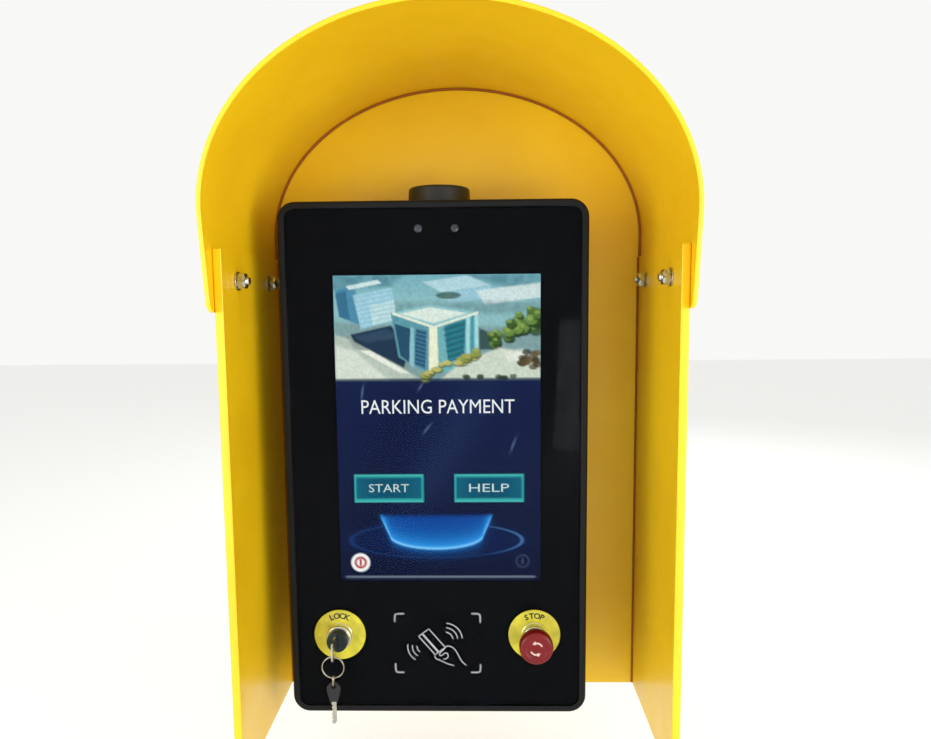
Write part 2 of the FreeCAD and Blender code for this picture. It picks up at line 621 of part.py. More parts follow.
def main_board():
    """Controller board with its memory, sockets and port row."""
    x0, x1 = SCREEN_X - BOARD_W / 2, SCREEN_X + BOARD_W / 2
    z0, z1 = BOARD_Z - BOARD_H / 2, BOARD_Z + BOARD_H / 2
    rear = BOARD_Y + BOARD_T
    board = block(x0, x1, BOARD_Y, rear, z0, z1)
    parts = [block(x0 + 18 + i * 26, x0 + 36 + i * 26, rear, rear + 16, z0, z0 + 22) for i in range(5)]
    parts += [block(x1 - 22, x1 - 14, rear, rear + 6, z1 - 120, z1 - 30), block(x0 + 12, x0 + 30, rear, rear + 9,
                                                                                z1 - 60, z1 - 30)]
    return cut_all(board.fuse(parts).removeSplitter(),
                   [rod_y(x, z, M3_R, BOARD_Y, rear) for x, z in board_hole_places()])


def board_screws():
    seat = BOARD_Y + BOARD_T
    return [screw_y(x, z, seat, M3_R, M3_LENGTH, M3_HEAD_R, M3_HEAD_T) for x, z in board_hole_places()]


def heat_sink():
    rear = BOARD_Y + BOARD_T
    half, fins = 32.0, 9
    base = block(SCREEN_X - half, SCREEN_X + half, rear, rear + 4, BOARD_Z - half, BOARD_Z + half)
    step = (2 * half - 2) / (fins - 1)
    rows = [block(SCREEN_X - half + i * step, SCREEN_X - half + 2 + i * step, rear + 4, rear + 20,
                  BOARD_Z - half, BOARD_Z + half) for i in range(fins)]
    return base.fuse(rows).removeSplitter()


def power_supply():
    """Enclosed supply with a slotted cover."""
    x0, x1 = SCREEN_X - SUPPLY_W / 2, SCREEN_X + SUPPLY_W / 2
    z0, z1 = SUPPLY_Z - SUPPLY_H / 2, SUPPLY_Z + SUPPLY_H / 2
    case = block(x0, x1, CHASSIS_REAR, CHASSIS_REAR + SUPPLY_T, z0, z1)
    rear = CHASSIS_REAR + SUPPLY_T
    slots = [block(x0 + 20 + i * 8, x0 + 23 + i * 8, rear - 1.5, rear, z0 + 20, z1 - 20) for i in range(12)]
    return cut_all(case, slots)


def terminal_block():
    x0 = SCREEN_X - STRIP_W / 2
    strip = block(x0, x0 + STRIP_W, CHASSIS_REAR, CHASSIS_REAR + STRIP_T, STRIP_Z, STRIP_Z + STRIP_H)
    pitch = STRIP_W / 10
    holes = [rod_y(x0 + pitch * (i + 0.5), STRIP_Z + STRIP_H / 2, 3, CHASSIS_REAR + 8, CHASSIS_REAR + STRIP_T)
             for i in range(10)]
    return cut_all(strip, holes)


def card_reader():
    body = slab(READER_X, READER_Z, READER_W, READER_H, 4, WEB_REAR, WEB_REAR + READER_T)
    socket = block(READER_X - 12, READER_X + 12, WEB_REAR + READER_T - 4, WEB_REAR + READER_T,
                   READER_Z - READER_H / 2, READER_Z - READER_H / 2 + 8)
    return body.cut(socket)


def camera_module():
    """Twin camera: a board with two lens barrels that reach the back of the glass."""
    reach = CAMERA_PITCH / 2 + CAMERA_SCREW_DX / 2 + 5
    board = block(CAMERA_X - reach, CAMERA_X + reach, CAMERA_BOARD_Y, CAMERA_BOARD_Y + BOARD_T,
                  CAMERA_Z - 10, CAMERA_Z + 10)
    barrels = [rod_y(x, z, CAMERA_BARREL_R, MASK_REAR, CAMERA_BOARD_Y) for x, z in camera_places()]
    cuts = [rod_y(x, z, CAMERA_LENS_R, MASK_REAR, MASK_REAR + 4) for x, z in camera_places()]
    cuts += [rod_y(x, z, M3_R, CAMERA_BOARD_Y, CAMERA_BOARD_Y + BOARD_T) for x, z in camera_screw_places()]
    return cut_all(board.fuse(barrels).removeSplitter(), cuts)


def camera_lenses():
    lenses = []
    for x, z in camera_places():
        barrel = rod_y(x, z, CAMERA_LENS_R, MASK_REAR + 0.6, MASK_REAR + 4)
        ball = Part.makeSphere(2.2 * CAMERA_LENS_R, V(x, MASK_REAR + 0.6 + 2.2 * CAMERA_LENS_R, z))
        lenses.append(barrel.common(ball))
    return lenses


def camera_screws():
    seat = CAMERA_BOARD_Y + BOARD_T
    return [screw_y(x, z, seat, M3_R, M3_LENGTH, M3_HEAD_R, M3_HEAD_T) for x, z in camera_screw_places()]


def speaker():
    y = (FRAME_REAR + HOUSING_REAR) / 2
    low = -HOUSING_TOP + HOUSING_WALL
    basket = rod_z(SPEAKER_X, y, SPEAKER_R, low, low + 4)
    cone = Part.makeCone(SPEAKER_R - 3, 9, SPEAKER_T - 8, V(SPEAKER_X, y, low + 4))
    magnet = rod_z(SPEAKER_X, y, 14, low + SPEAKER_T - 6, low + SPEAKER_T)
    return basket.fuse([cone, magnet]).removeSplitter()


# ---- antenna and cable gland
def antenna_puck():
    base = HOUSING_TOP
    dome = Part.makeCone(ANTENNA_R, ANTENNA_R - 1.2, ANTENNA_H, V(ANTENNA_X, ANTENNA_Y, base))
    top_edge = [e for e in dome.Edges if e.BoundBox.ZMin > base + ANTENNA_H - 0.1]
    dome = dome.makeFillet(3.5, top_edge)
    stem = rod_z(ANTENNA_X, ANTENNA_Y, ANTENNA_STEM_R, base - 14, base)
    return dome.fuse(stem).removeSplitter()


def antenna_nut():
    top = HOUSING_TOP - HOUSING_WALL
    nut = hexagon(V(ANTENNA_X, ANTENNA_Y, top - 6), 24, "z", 6)
    return nut.cut(rod_z(ANTENNA_X, ANTENNA_Y, ANTENNA_STEM_R, top - 6, top))


def cable_gland():
    low = -HOUSING_TOP
    thread = rod_z(GLAND_X, GLAND_Y, GLAND_THREAD_R, low, low + 10)
    collar = hexagon(V(GLAND_X, GLAND_Y, low - 6), 24, "z", 6)
    dome = Part.makeCone(8.5, 11, 14, V(GLAND_X, GLAND_Y, low - 20))
    return thread.fuse([collar, dome]).removeSplitter().cut(rod_z(GLAND_X, GLAND_Y, GLAND_BORE_R, low - 20, low + 10))


def gland_nut():
    floor = -HOUSING_TOP + HOUSING_WALL
    nut = hexagon(V(GLAND_X, GLAND_Y, floor), 27, "z", 5)
    return nut.cut(rod_z(GLAND_X, GLAND_Y, GLAND_THREAD_R, floor, floor + 5))


# ---- parts that both control devices share
def legend_plate(x):
    return tube_y(x, DEVICE_Z, LEGEND_R, DEVICE_HOLE_R, LEGEND_Y, FACE_Y)


def device_nut(x):
    nut = rod_y(x, DEVICE_Z, DEVICE_NUT_R, WEB_REAR, WEB_REAR + DEVICE_NUT_T)
    notches = []
    for i in range(6):
        a = math.radians(60 * i)
        notches.append(rod_y(x + DEVICE_NUT_R * math.cos(a), DEVICE_Z + DEVICE_NUT_R * math.sin(a), 2.2,
                             WEB_REAR, WEB_REAR + DEVICE_NUT_T))
    return cut_all(nut, notches + [rod_y(x, DEVICE_Z, DEVICE_R, WEB_REAR, WEB_REAR + DEVICE_NUT_T)])


def contact_block(x, pin_z, pin_r, pin_rear, travel):
    """Switch block with a blind bore for its plunger and two wire clamps."""
    rear = DEVICE_REAR + BLOCK_T
    body = slab(x, DEVICE_Z, BLOCK_W, BLOCK_H, 2.5, DEVICE_REAR, rear)
    bore = rod_y(x, pin_z, pin_r + RUNNING, DEVICE_REAR, pin_rear + travel + 2)
    clamps = [rod_y(x, DEVICE_Z + s * (BLOCK_H / 2 - 7), 3, rear - 5, rear) for s in (-1, 1)]
    return cut_all(body, clamps + [bore])


# ---- key switch
def key_switch_body():
    collar = rod_y(KEY_X, DEVICE_Z, KEY_COLLAR_R, LEGEND_Y - KEY_COLLAR_T, LEGEND_Y)
    rim = [e for e in collar.Edges if e.BoundBox.YMax < LEGEND_Y - KEY_COLLAR_T + 0.1]
    collar = collar.makeFillet(1.6, rim)
    barrel = rod_y(KEY_X, DEVICE_Z, DEVICE_R, LEGEND_Y, DEVICE_REAR)
    bore = rod_y(KEY_X, DEVICE_Z, BARREL_R + RUNNING, LEGEND_Y - KEY_COLLAR_T, DEVICE_REAR)
    return collar.fuse(barrel).removeSplitter().cut(bore)


def key_barrel():
    """Rotor of the lock: dark head, keyway, shaft, and a rising cam that works the contact plunger."""
    front = BARREL_FACE
    head = rod_y(KEY_X, DEVICE_Z, BARREL_HEAD_R, front, front + BARREL_HEAD_T)
    rim = [e for e in head.Edges if e.BoundBox.YMax < front + 0.1]
    head = head.makeFillet(1.5, rim)
    shaft_end = DEVICE_REAR - 2.0 - CAM_LIFT
    shaft = rod_y(KEY_X, DEVICE_Z, BARREL_R, front + BARREL_HEAD_T, shaft_end)
    cams = []
    steps, sweep = 11, 7.5
    lead = math.degrees(math.asin(CAM_PIN_R / CAM_PIN_OFFSET)) + sweep
    for i in range(1, steps + 1):
        a0, a1 = (math.radians(lead + sweep * (i + k)) for k in (0, 1))
        tip = [V(KEY_X, shaft_end, DEVICE_Z)]
        tip += [V(KEY_X - BARREL_R * math.sin(a), shaft_end, DEVICE_Z + BARREL_R * math.cos(a)) for a in (a0, a1)]
        cams.append(Part.Face(Part.makePolygon(tip + [tip[0]])).extrude(V(0, CAM_LIFT * i * sweep / 90, 0)))
    slot = block(KEY_X - KEY_THICK / 2 - KEY_CLEARANCE, KEY_X + KEY_THICK / 2 + KEY_CLEARANCE,
                 front, front + KEYWAY_DEPTH,
                 DEVICE_Z - KEY_BLADE_H / 2 - KEY_CLEARANCE, DEVICE_Z + KEY_BLADE_H / 2 + KEY_CLEARANCE)
    return head.fuse([shaft] + cams).removeSplitter().cut(slot)


def key():
    """Flat key: toothed blade in the keyway, and a bow with the ring hole."""
    x0 = KEY_X - KEY_THICK / 2
    tip = BARREL_FACE + KEY_BLADE_L
    blade = block(x0, x0 + KEY_THICK, BOW_BACK, tip, DEVICE_Z - KEY_BLADE_H / 2, DEVICE_Z + KEY_BLADE_H / 2)
    teeth = []
    for i in range(5):
        y = BARREL_FACE + 4 + 4 * i
        points = [V(x0, y - 1.8, DEVICE_Z + KEY_BLADE_H / 2), V(x0, y, DEVICE_Z + KEY_BLADE_H / 2 - 1.6),
                  V(x0, y + 1.8, DEVICE_Z + KEY_BLADE_H / 2), V(x0, y - 1.8, DEVICE_Z + KEY_BLADE_H / 2)]
        teeth.append(Part.Face(Part.makePolygon(points)).extrude(V(KEY_THICK, 0, 0)))
    bow = block(x0, x0 + KEY_THICK, BOW_BACK - BOW_L, BOW_BACK, DEVICE_Z - BOW_H / 2, DEVICE_Z + BOW_H / 2)
    corners = [e for e in bow.Edges if abs(e.tangentAt(e.FirstParameter).x) > 0.9]
    bow = bow.makeFillet(BOW_CORNER, corners)
    hole = rod_x(RING_PIVOT_Y, RING_PIVOT_Z, BOW_HOLE_R, x0, x0 + KEY_THICK)
    return cut_all(blade.cut(Part.makeCompound(teeth)).fuse(bow).removeSplitter(), [hole])


def key_contact_plunger():
    z = DEVICE_Z + CAM_PIN_OFFSET
    return rod_y(KEY_X, z, CAM_PIN_R, DEVICE_REAR - 2.0 - CAM_LIFT + GAP, DEVICE_REAR + 14)


def key_ring():
    return Part.makeTorus(RING_R, RING_WIRE_R, V(KEY_X, RING_PIVOT_Y, RING_TOP - RING_R), V(0, 1, 0))


def key_link():
    """Oval wire loop in the YZ plane that joins the ring to the spare key."""
    y, r = RING_PIVOT_Y, LINK_R
    top, low = LINK_TOP - r, LINK_BOTTOM + r
    upper = Part.Arc(V(KEY_X, y - r, top), V(KEY_X, y, LINK_TOP), V(KEY_X, y + r, top)).toShape()
    lower = Part.Arc(V(KEY_X, y + r, low), V(KEY_X, y, LINK_BOTTOM), V(KEY_X, y - r, low)).toShape()
    sides = [Part.makeLine(V(KEY_X, y + r, top), V(KEY_X, y + r, low)),
             Part.makeLine(V(KEY_X, y - r, low), V(KEY_X, y - r, top))]
    path = Part.Wire([upper, sides[0], lower, sides[1]])
    section = Part.Wire([Part.makeCircle(LINK_WIRE_R, V(KEY_X, y - r, top), V(0, 0, 1))])
    return path.makePipeShell([section], True, True)


def spare_key():
    """Steel blade of the spare key; its tang fills the slot in the moulded head."""
    hole_z = LINK_BOTTOM - 1.0
    head_top = hole_z + SPARE_HOLE_R + 1.8
    head_low = head_top - SPARE_HEAD_H
    y0, y1 = RING_PIVOT_Y - SPARE_BLADE_T / 2, RING_PIVOT_Y + SPARE_BLADE_T / 2
    half = SPARE_BLADE_W / 2
    tang = block(KEY_X - half, KEY_X + half, y0, y1, head_low, head_low + SPARE_HEAD_H / 2)
    outline = [V(KEY_X - half, y0, head_low), V(KEY_X + half, y0, head_low)]
    tip = head_low - SPARE_BLADE_L
    outline += [V(KEY_X + half, y0, tip + 3), V(KEY_X + half - 2, y0, tip), V(KEY_X - half + 1, y0, tip)]
    for i in range(5):
        z = tip + 3 + 4 * i
        outline += [V(KEY_X - half, y0, z), V(KEY_X - half + 1.3, y0, z + 2)]
    outline += [V(KEY_X - half, y0, tip + 3 + 20), V(KEY_X - half, y0, head_low)]
    blade = Part.Face(Part.makePolygon(outline)).extrude(V(0, y1 - y0, 0))
    return blade.fuse(tang).removeSplitter()


def spare_key_head():
    hole_z = LINK_BOTTOM - 1.0
    top = hole_z + SPARE_HOLE_R + 1.8
    low = top - SPARE_HEAD_H
    y0, y1 = RING_PIVOT_Y - SPARE_HEAD_T / 2, RING_PIVOT_Y + SPARE_HEAD_T / 2
    half, waist = SPARE_HEAD_W / 2, SPARE_BLADE_W / 2 + 1.6
    outline = [V(KEY_X - half + 4, y0, top), V(KEY_X + half - 4, y0, top), V(KEY_X + half, y0, top - 4),
               V(KEY_X + half, y0, top - 9), V(KEY_X + waist, y0, low), V(KEY_X - waist, y0, low),
               V(KEY_X - half, y0, top - 9), V(KEY_X - half, y0, top - 4), V(KEY_X - half + 4, y0, top)]
    body = Part.Face(Part.makePolygon(outline)).extrude(V(0, y1 - y0, 0))
    tang = block(KEY_X - SPARE_BLADE_W / 2, KEY_X + SPARE_BLADE_W / 2, RING_PIVOT_Y - SPARE_BLADE_T / 2,
                 RING_PIVOT_Y + SPARE_BLADE_T / 2, low, low + SPARE_HEAD_H / 2)
    return cut_all(body, [rod_y(KEY_X, hole_z, SPARE_HOLE_R, y0, y1), tang])


# ---- emergency stop
def estop_body():
    front = LEGEND_Y - ESTOP_COLLAR_T
    collar = rod_y(ESTOP_X, DEVICE_Z, ESTOP_COLLAR_R, front, LEGEND_Y)
    rim = [e for e in collar.Edges if e.BoundBox.YMax < front + 0.1]
    collar = collar.makeFillet(1.6, rim)
    barrel = rod_y(ESTOP_X, DEVICE_Z, DEVICE_R, LEGEND_Y, DEVICE_REAR)
    well = rod_y(ESTOP_X, DEVICE_Z, ESTOP_BORE_R, front, front + ESTOP_BORE_DEPTH)
    bore = rod_y(ESTOP_X, DEVICE_Z, ESTOP_STEM_R + RUNNING, front, DEVICE_REAR)
    return collar.fuse(barrel).removeSplitter().cut(well).cut(bore)


def estop_stem():
    tip = rod_y(ESTOP_X, DEVICE_Z, ESTOP_TIP_R, ESTOP_FACE + 8, ESTOP_NECK_END + GAP)
    shaft = rod_y(ESTOP_X, DEVICE_Z, ESTOP_STEM_R, ESTOP_NECK_END + GAP, ESTOP_STEM_END)
    return tip.fuse(shaft).removeSplitter()


def estop_button():
    """Mushroom head with a dished face; a blind bore turns on the stem's tip."""
    r, y = ESTOP_HEAD_R, ESTOP_FACE
    back = y + ESTOP_HEAD_T
    profile = [(0, y + 1.2), (r - 9, y + 1.2), (r - 6.5, y), (r - 3.5, y), (r - 1.2, y + 1.2), (r, y + 3.6),
               (r, back - 3), (r - 1.5, back - 0.6), (r - 3, back), (ESTOP_NECK_R, back),
               (ESTOP_NECK_R, ESTOP_NECK_END), (0, ESTOP_NECK_END)]
    bore = rod_y(ESTOP_X, DEVICE_Z, ESTOP_TIP_R + RUNNING, y + 8 - GAP, ESTOP_NECK_END)
    return turned(ESTOP_X, DEVICE_Z, profile).cut(bore)


def estop_spring():
    """Coil of tilted half rings, each meeting the next square to the wire."""
    start = ESTOP_NECK_END + SPRING_WIRE_R + GAP
    end = LEGEND_Y - ESTOP_COLLAR_T + ESTOP_BORE_DEPTH - SPRING_WIRE_R - GAP
    rise = (end - start) / (2 * SPRING_TURNS)
    halves = []
    for i in range(2 * SPRING_TURNS):
        side = 1 if i % 2 == 0 else -1
        here, there = V(side * SPRING_R, 0, i * rise), V(-side * SPRING_R, 0, (i + 1) * rise)
        wire = Part.Wire([Part.makeCircle(SPRING_WIRE_R, here, V(0, 1, 0))])
        axis = V(0, side, 0).cross(there - here)
        halves.append(Part.Face(wire).revolve((here + there) / 2, axis, 180))
    coil = halves[0].fuse(halves[1:])
    coil.rotate(V(0, 0, 0), V(1, 0, 0), -90)
    coil.translate(V(ESTOP_X, start, DEVICE_Z))
    return coil


def estop_contact_plunger():
    return rod_y(ESTOP_X, DEVICE_Z, ESTOP_PIN_R, ESTOP_STEM_END + GAP, DEVICE_REAR + 16)


bolts, washers, nuts = hood_fasteners()
studs, stud_nuts, vesa_screws = bracket_fasteners()
save("back_plate", back_plate())
save("side_wall_left", side_wall(-1))
save("side_wall_right", side_wall(1))
save("hood", hood())
save("hood_bolts", bolts)
save("hood_washers", washers)
save("hood_nuts", nuts)
save("cable_grommet", cable_grommet())
save("bracket_studs", studs)
save("terminal_bracket", terminal_bracket())
save("bracket_nuts", stud_nuts)
save("bracket_screws", vesa_screws)
save("rear_housing", rear_housing())
save("housing_screws", housing_screws())
save("front_frame", front_frame())
save("glass_gasket", glass_gasket())
save("mask_print", mask_print())
save("cover_glass", cover_glass())
save("lcd_module", lcd_module())
save("chassis_plate", chassis_plate())
save("chassis_screws", chassis_screws())
save("board_standoffs", board_standoffs())
save("main_board", main_board())
save("heat_sink", heat_sink())
save("board_screws", board_screws())
save("power_supply", power_supply())
save("terminal_block", terminal_block())
save("card_reader", card_reader())
save("camera_module", camera_module())
save("camera_lenses", camera_lenses())
save("camera_screws", camera_screws())
save("speaker", speaker())
save("antenna_puck", antenna_puck())
save("antenna_nut", antenna_nut())
save("cable_gland", cable_gland())
save("gland_nut", gland_nut())
save("key_plate", legend_plate(KEY_X))
save("key_switch_body", key_switch_body())
save("key_switch_nut", device_nut(KEY_X))
save("key_contact_block", contact_block(KEY_X, DEVICE_Z + CAM_PIN_OFFSET, CAM_PIN_R, DEVICE_REAR + 14, CAM_LIFT))
save("key_contact_plunger", key_contact_plunger())
save("key_barrel", key_barrel())
save("key", key())
save("key_ring", key_ring())
save("key_link", key_link())
save("spare_key", spare_key())
save("spare_key_head", spare_key_head())
save("estop_plate", legend_plate(ESTOP_X))
save("estop_body", estop_body())
save("estop_nut", device_nut(ESTOP_X))
save("estop_contact_block", contact_block(ESTOP_X, DEVICE_Z, ESTOP_PIN_R, DEVICE_REAR + 16, ESTOP_TRAVEL))
save("estop_contact_plunger", estop_contact_plunger())
save("estop_stem", estop_stem())
save("estop_button", estop_button())
save("estop_spring", estop_spring())
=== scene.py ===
import bpy
import bmesh
import json
import math
import numpy
from mathutils import Matrix, Vector


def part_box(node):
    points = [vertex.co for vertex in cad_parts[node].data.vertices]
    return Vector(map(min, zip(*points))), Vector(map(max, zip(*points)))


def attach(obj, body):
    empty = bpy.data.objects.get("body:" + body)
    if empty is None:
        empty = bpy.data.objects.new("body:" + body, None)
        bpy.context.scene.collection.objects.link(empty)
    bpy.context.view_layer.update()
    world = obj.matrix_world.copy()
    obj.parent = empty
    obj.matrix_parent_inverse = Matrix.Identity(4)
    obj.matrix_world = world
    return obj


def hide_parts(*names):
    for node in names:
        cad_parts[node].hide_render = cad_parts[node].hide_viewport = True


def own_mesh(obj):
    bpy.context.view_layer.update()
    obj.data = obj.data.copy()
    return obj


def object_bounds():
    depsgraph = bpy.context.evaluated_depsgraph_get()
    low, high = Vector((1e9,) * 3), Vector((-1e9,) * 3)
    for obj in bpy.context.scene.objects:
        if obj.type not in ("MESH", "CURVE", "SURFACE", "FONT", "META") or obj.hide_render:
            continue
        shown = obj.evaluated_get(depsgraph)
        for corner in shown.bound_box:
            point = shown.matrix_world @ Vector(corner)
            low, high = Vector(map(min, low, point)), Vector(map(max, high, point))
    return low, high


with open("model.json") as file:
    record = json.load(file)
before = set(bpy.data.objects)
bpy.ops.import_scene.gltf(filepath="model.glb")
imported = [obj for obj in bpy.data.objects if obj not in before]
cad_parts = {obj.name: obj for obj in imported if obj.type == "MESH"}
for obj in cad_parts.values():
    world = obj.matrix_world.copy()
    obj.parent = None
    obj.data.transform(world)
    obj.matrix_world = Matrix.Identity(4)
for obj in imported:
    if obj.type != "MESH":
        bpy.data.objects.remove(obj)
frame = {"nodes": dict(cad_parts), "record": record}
cad_box = [list(corner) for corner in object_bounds()]
nodes = frame["nodes"]


# ---------------------------------------------------------------- studio
# A pale seamless floor under soft light, with the camera in front of the terminal and a little above it.
# Metres; +X is to the user's right, +Y goes back into the wall and +Z is up, as in the frame.

CAMERA_PLACE = Vector((0.0288, -0.9135, 0.1918))
CAMERA_YAW, CAMERA_PITCH, CAMERA_ROLL = 0.0215, 0.103, -0.0095
LENS_PER_WIDTH = 0.7614            # focal length as a share of the sensor's width


def linear(code):
    """sRGB hex to linear RGBA."""
    channels = [int(code[i:i + 2], 16) / 255 for i in (1, 3, 5)]
    return [c / 12.92 if c <= 0.04045 else ((c + 0.055) / 1.055) ** 2.4 for c in channels] + [1.0]


def add_node(tree, kind, settings=None, **inputs):
    """Adds one node with its settings, where stops are the colours of a ramp; an input is a value or the socket
    that feeds it, and underscores stand for spaces."""
    node = tree.nodes.new(kind)
    for name, value in (settings or {}).items():
        if name == "stops":
            for stop, (place, code) in zip(node.color_ramp.elements, value):
                stop.position, stop.color = place, linear(code)
        else:
            setattr(node, name, value)
    for name, value in inputs.items():
        socket = node.inputs[name.replace("_", " ")]
        if isinstance(value, bpy.types.NodeSocket):
            tree.links.new(value, socket)
        else:
            socket.default_value = value
    return node


def place_camera():
    """Camera at its place, turned left, down and tilted by the three angles."""
    yaw, pitch, roll = CAMERA_YAW, CAMERA_PITCH, CAMERA_ROLL
    ahead = Vector((-math.sin(yaw), math.cos(yaw), 0))
    right = Vector((math.cos(yaw), math.sin(yaw), 0))
    up = math.sin(pitch) * ahead + Vector((0, 0, math.cos(pitch)))
    ahead = math.cos(pitch) * ahead - Vector((0, 0, math.sin(pitch)))
    right, up = (math.cos(roll) * right + math.sin(roll) * up, math.cos(roll) * up - math.sin(roll) * right)
    data = bpy.data.cameras.new("camera")
    data.sensor_width = 36.0
    data.lens = 36.0 * LENS_PER_WIDTH
    data.clip_start = 0.02
    camera = bpy.data.objects.new("camera", data)
    turn = Matrix((right, up, -ahead)).transposed().to_4x4()
    camera.matrix_world = Matrix.Translation(CAMERA_PLACE) @ turn
    bpy.context.scene.collection.objects.link(camera)
    bpy.context.scene.camera = camera


def place_light(name, place, target, size, watts, mirrored=True):
    """Soft light aimed at a target; one that is not mirrored lights surfaces without showing in them."""
    data = bpy.data.lights.new(name, "AREA")
    data.shape = "RECTANGLE"
    data.size, data.size_y = size
    data.energy = watts
    lamp = bpy.data.objects.new(name, data)
    lamp.location = place
    lamp.visible_glossy = mirrored
    lamp.rotation_euler = (Vector(target) - Vector(place)).to_track_quat("-Z", "Y").to_euler()
    bpy.context.scene.collection.objects.link(lamp)


def place_floor():
    """Wide sheet of pale paper below the terminal."""
    low = cad_box[0][2] - 0.12
    reach = 6.0
    mesh = bpy.data.meshes.new("floor")
    mesh.from_pydata([(-reach, -reach, low), (reach, -reach, low), (reach, reach, low), (-reach, reach, low)],
                     [], [(0, 1, 2, 3)])
    floor = bpy.data.objects.new("floor", mesh)
    bpy.context.scene.collection.objects.link(floor)
    paper = bpy.data.materials.new("pale_paper")
    paper.use_nodes = True
    paper.node_tree.nodes["Principled BSDF"].inputs["Base Color"].default_value = linear("#F4F4F2")
    paper.node_tree.nodes["Principled BSDF"].inputs["Roughness"].default_value = 0.9
    mesh.materials.append(paper)


place_camera()
place_floor()
place_light("key_softbox", (-1.6, -1.5, 0.0), (0.2, -0.1, 0.1), (1.3, 1.2), 22)
place_light("fill_softbox", (1.6, -1.4, 0.0), (-0.2, -0.1, 0.0), (1.2, 1.2), 20)
place_light("slot_softbox", (0.6, -2.1, -0.5), (-0.23, -0.08, -0.1), (0.6, 1.2), 12, False)
place_light("low_softbox", (0.1, -0.9, -1.3), (0, -0.12, 0.4), (1.4, 1.0), 58, False)
place_light("back_softbox", (0.8, 1.8, 1.3), (0, 0, 0.1), (1.4, 1.0), 14)
world = bpy.data.worlds.new("studio_air")
bpy.context.scene.world = world
world.use_nodes = True
world.node_tree.nodes["Background"].inputs["Color"].default_value = linear("#FEFEFD")
world.node_tree.nodes["Background"].inputs["Strength"].default_value = 0.95
bpy.context.scene.view_settings.view_transform = "Standard"     # keeps the saturated yellow of the coat


# ---------------------------------------------------------------- shroud: back plate, side walls and hood
# Folded 2 mm sheet steel with a yellow powder coat.  The walls stand in notches of the back plate, and the
# hood is a rolled arch with a return on its raked front edge, bolted through to the walls.

SHEET = 0.002
HOOD_LOW, HOOD_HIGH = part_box("hood")
WALL_LOW, WALL_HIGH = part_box("side_wall_right")
PLATE_LOW, PLATE_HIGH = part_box("back_plate")
HALF_WIDTH = WALL_HIGH.x
ARCH_SPRING = 0.266
ARCH_RISE = HOOD_HIGH.z - SHEET - ARCH_SPRING
HOOD_RAKE = math.radians(8.5)
HOOD_REACH = -HOOD_LOW.y - (HOOD_HIGH.z - ARCH_SPRING) * math.tan(HOOD_RAKE)
HOOD_LIP = 0.005                 # outer face to the lip's free edge
HOOD_CORNER = 0.014
FOLD = 0.0028                    # outside radius of a fold
COAT_EDGE = 0.0006               # softness of a coated cut edge


def new_material(name):
    """Empty procedural material: (material, tree, shader, object coordinates)."""
    material = bpy.data.materials.new(name)
    material.use_nodes = True
    tree = material.node_tree
    shader = tree.nodes["Principled BSDF"]
    coordinates = add_node(tree, "ShaderNodeTexCoord").outputs["Object"]
    return material, tree, shader, coordinates


def set_shader(shader, **values):
    """Values and links on the shader's own sockets; underscores stand for spaces."""
    for name, value in values.items():
        socket = shader.inputs[name.replace("_", " ")]
        if isinstance(value, bpy.types.NodeSocket):
            shader.id_data.links.new(value, socket)
        else:
            socket.default_value = value


def powder_coat_yellow():
    """Polyester powder coat on steel: even orange-peel, slow colour drift, and dust that dulls it in patches."""
    material, tree, shader, coordinates = new_material("powder_coat_yellow")
    peel_size = 0.0022
    drift = add_node(tree, "ShaderNodeTexNoise", Vector=coordinates, Scale=1 / 0.16, Detail=3.0)
    colour = add_node(tree, "ShaderNodeValToRGB", {"stops": ((0.3, "#EFC00C"), (0.7, "#F7CE10"))},
                      Fac=drift.outputs["Fac"])
    dust = add_node(tree, "ShaderNodeTexNoise", Vector=coordinates, Scale=1 / 0.035, Detail=6.0)
    gloss = add_node(tree, "ShaderNodeMapRange", Value=dust.outputs["Fac"], From_Min=0.35, From_Max=0.7, To_Min=0.34,
                     To_Max=0.47)
    peel = add_node(tree, "ShaderNodeTexNoise", Vector=coordinates, Scale=1 / peel_size, Detail=1.0)
    bow = add_node(tree, "ShaderNodeTexNoise", Vector=coordinates, Scale=1 / 0.11, Detail=0.0)
    slow = add_node(tree, "ShaderNodeBump", Height=bow.outputs["Fac"], Strength=0.12, Distance=0.012)
    bump = add_node(tree, "ShaderNodeBump", Height=peel.outputs["Fac"], Strength=0.16, Distance=0.0002,
                    Normal=slow.outputs["Normal"])
    set_shader(shader, Base_Color=colour.outputs["Color"], Roughness=gloss.outputs["Result"],
               Normal=bump.outputs["Normal"], Specular_IOR_Level=0.5, Coat_Weight=0.12, Coat_Roughness=0.25)
    return material


def clean_mesh(name, shape):
    """Mesh from (points, faces), with doubled points merged and its faces turned outwards."""
    mesh = bpy.data.meshes.new(name)
    mesh.from_pydata([tuple(p) for p in shape[0]], [], shape[1])
    work = bmesh.new()
    work.from_mesh(mesh)
    bmesh.ops.remove_doubles(work, verts=work.verts, dist=1e-6)
    bmesh.ops.recalc_face_normals(work, faces=work.faces)
    work.to_mesh(mesh)
    work.free()
    return mesh


def mesh_piece(name, shape, material, stands_for=(), body="terminal", smooth=40.0, slot=None):
    """Closed mesh in place from (points, faces), smooth-shaded up to an angle, riding on its body."""
    return finish_piece(name, clean_mesh(name, shape), material, stands_for, body, smooth=smooth, slot=slot)


